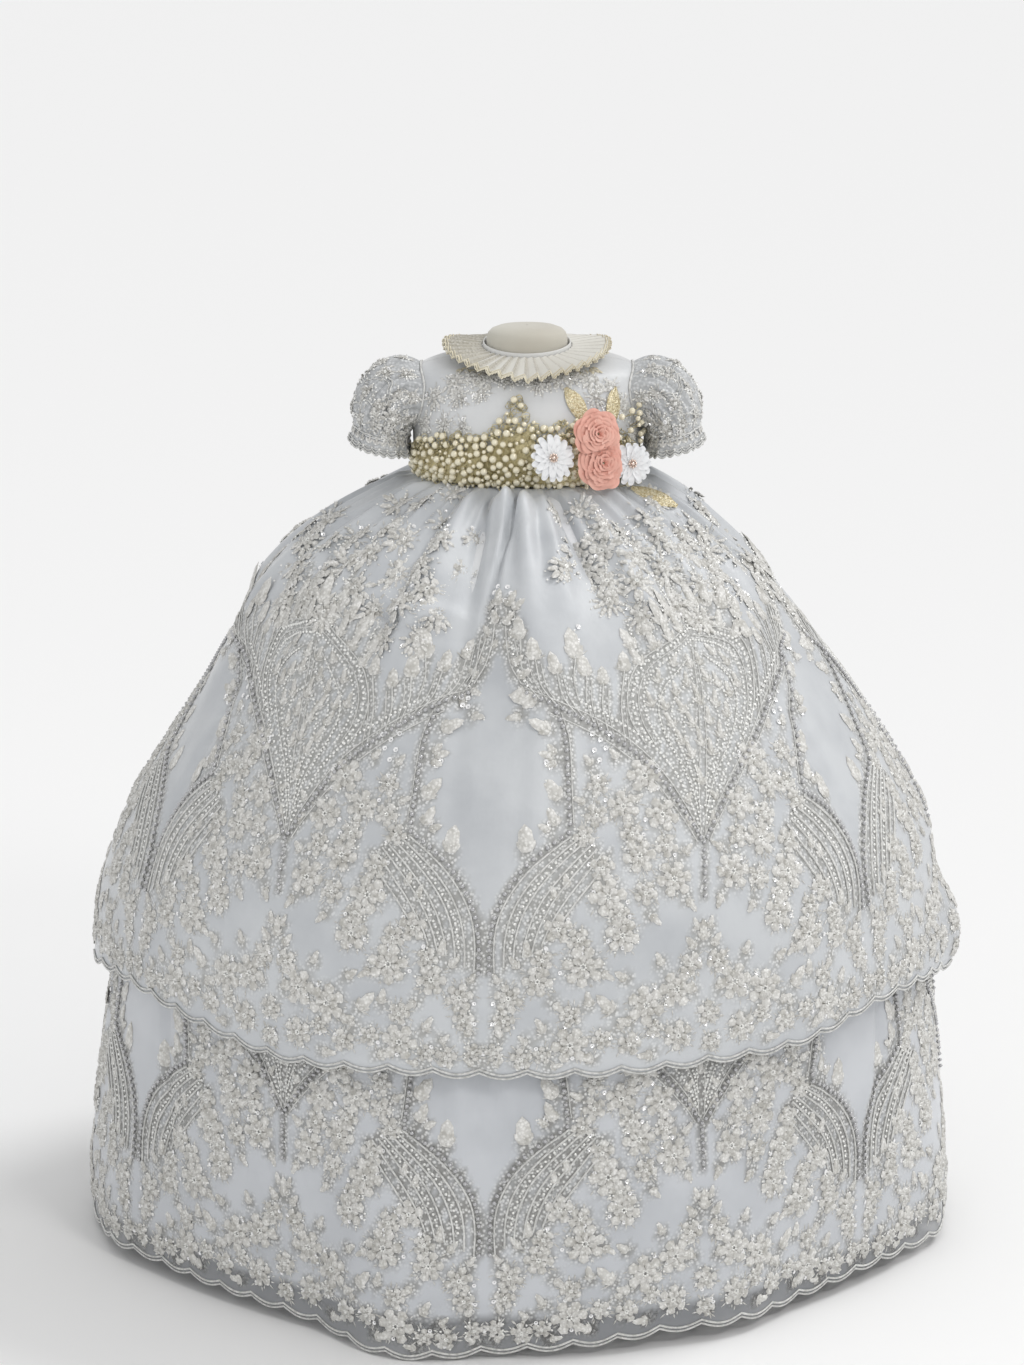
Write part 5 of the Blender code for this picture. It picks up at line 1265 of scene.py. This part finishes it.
# Leaves: root and tip as turn in degrees and level on their cloth, half width
GOLD_LEAVES = [
    ("gold_leaf_top", torso, (37, 0.47), (29, 0.69), 0.0078), ("gold_leaf_side", torso, (51, 0.44), (61, 0.66), 0.0074),
    ("gold_leaf_low", upper_cloth, (60, 0.7380), (67, 0.7160), 0.0080),
]
for name, cloth, root, tip, half in GOLD_LEAVES:
    along, across = np.linspace(0, 1, 17)[:, None], np.linspace(-1, 1, 9)[None, :]
    turn = np.radians(root[0] + (tip[0] - root[0]) * along) + 0 * across
    level = root[1] + (tip[1] - root[1]) * along + 0 * across
    at, _, _, out = lie(cloth, turn, level)
    way = np.cross(at[-1, 4] - at[0, 4], out[8, 4])
    way = way / np.linalg.norm(way)
    wide = half * (0.10 + np.sin(math.pi * np.clip(along, 0.04, 0.97)) ** 0.8) * across
    veins = 0.0004 * np.abs(np.sin(9 * math.pi * (along + 0.35 * np.abs(across))))
    high = 0.0012 + 0.0016 * (1 - across**2) - 0.0008 * np.exp(-(across / 0.12) ** 2) + veins
    thing = piece(name + "_lace", at + way * wide[..., None] + out * high[..., None], quads(17, 9, False), gold_glitter)
    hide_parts(name)
    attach(thing, "root")

# Floor, light and camera: a pale paper floor, soft light all round and a window behind on the right.
# The camera's place and lens are fitted to the photo, whose middle lies a little to one side.
FLOOR_SIZE = 80
CAMERA_BACK, CAMERA_UP, LOOK_DOWN, LENS = 4.0, 1.5, 13.55, 111.82
SHIFT_PIXELS, PICTURE_TALL = -15, 1365
bpy.ops.mesh.primitive_plane_add(size=FLOOR_SIZE, location=(0, 0, 0))
floor = bpy.context.object
floor.name = "floor"
paper = shader("pale_paper", (0.92, 0.92, 0.92), 0.9)
floor.data.materials.append(paper)
world = bpy.data.worlds.new("studio")
bpy.context.scene.world = world
world.use_nodes = True
world.node_tree.nodes["Background"].inputs["Color"].default_value = (1.0, 1.0, 1.0, 1)
world.node_tree.nodes["Background"].inputs["Strength"].default_value = 0.69
for name, where, size, power, warmth in (("key", (1.6, -2.8, 2.8), 0.7, 26, (1.0, 0.98, 0.96)),
                                         ("fill", (-3.0, -2.6, 1.8), 2.5, 6, (0.94, 0.97, 1.0))):
    data = bpy.data.lights.new(name, "AREA")
    data.shape, data.size, data.energy, data.color = "SQUARE", size, power, warmth
    lamp = bpy.data.objects.new(name, data)
    bpy.context.scene.collection.objects.link(lamp)
    lamp.location = where
    lamp.rotation_euler = (Vector((0, 0, 0.4)) - Vector(where)).to_track_quat("-Z", "Y").to_euler()
data = bpy.data.lights.new("window", "SUN")
data.energy, data.angle = 1.05, math.radians(22)
lamp = bpy.data.objects.new("window", data)
bpy.context.scene.collection.objects.link(lamp)
lamp.location = (2.2, 1.2, 3.4)
lamp.rotation_euler = Vector((-0.60, -0.30, -0.90)).to_track_quat("-Z", "Y").to_euler()
data = bpy.data.cameras.new("camera")
data.sensor_fit, data.sensor_height, data.lens = "VERTICAL", 36.0, LENS
data.shift_x = SHIFT_PIXELS / PICTURE_TALL
data.clip_end = 200
camera = bpy.data.objects.new("camera", data)
bpy.context.scene.collection.objects.link(camera)
camera.location = (0, -CAMERA_BACK, CAMERA_UP)
camera.rotation_euler = (math.radians(90 - LOOK_DOWN), 0, 0)
bpy.context.scene.camera = camera
bpy.context.scene.view_settings.view_transform = "Standard"
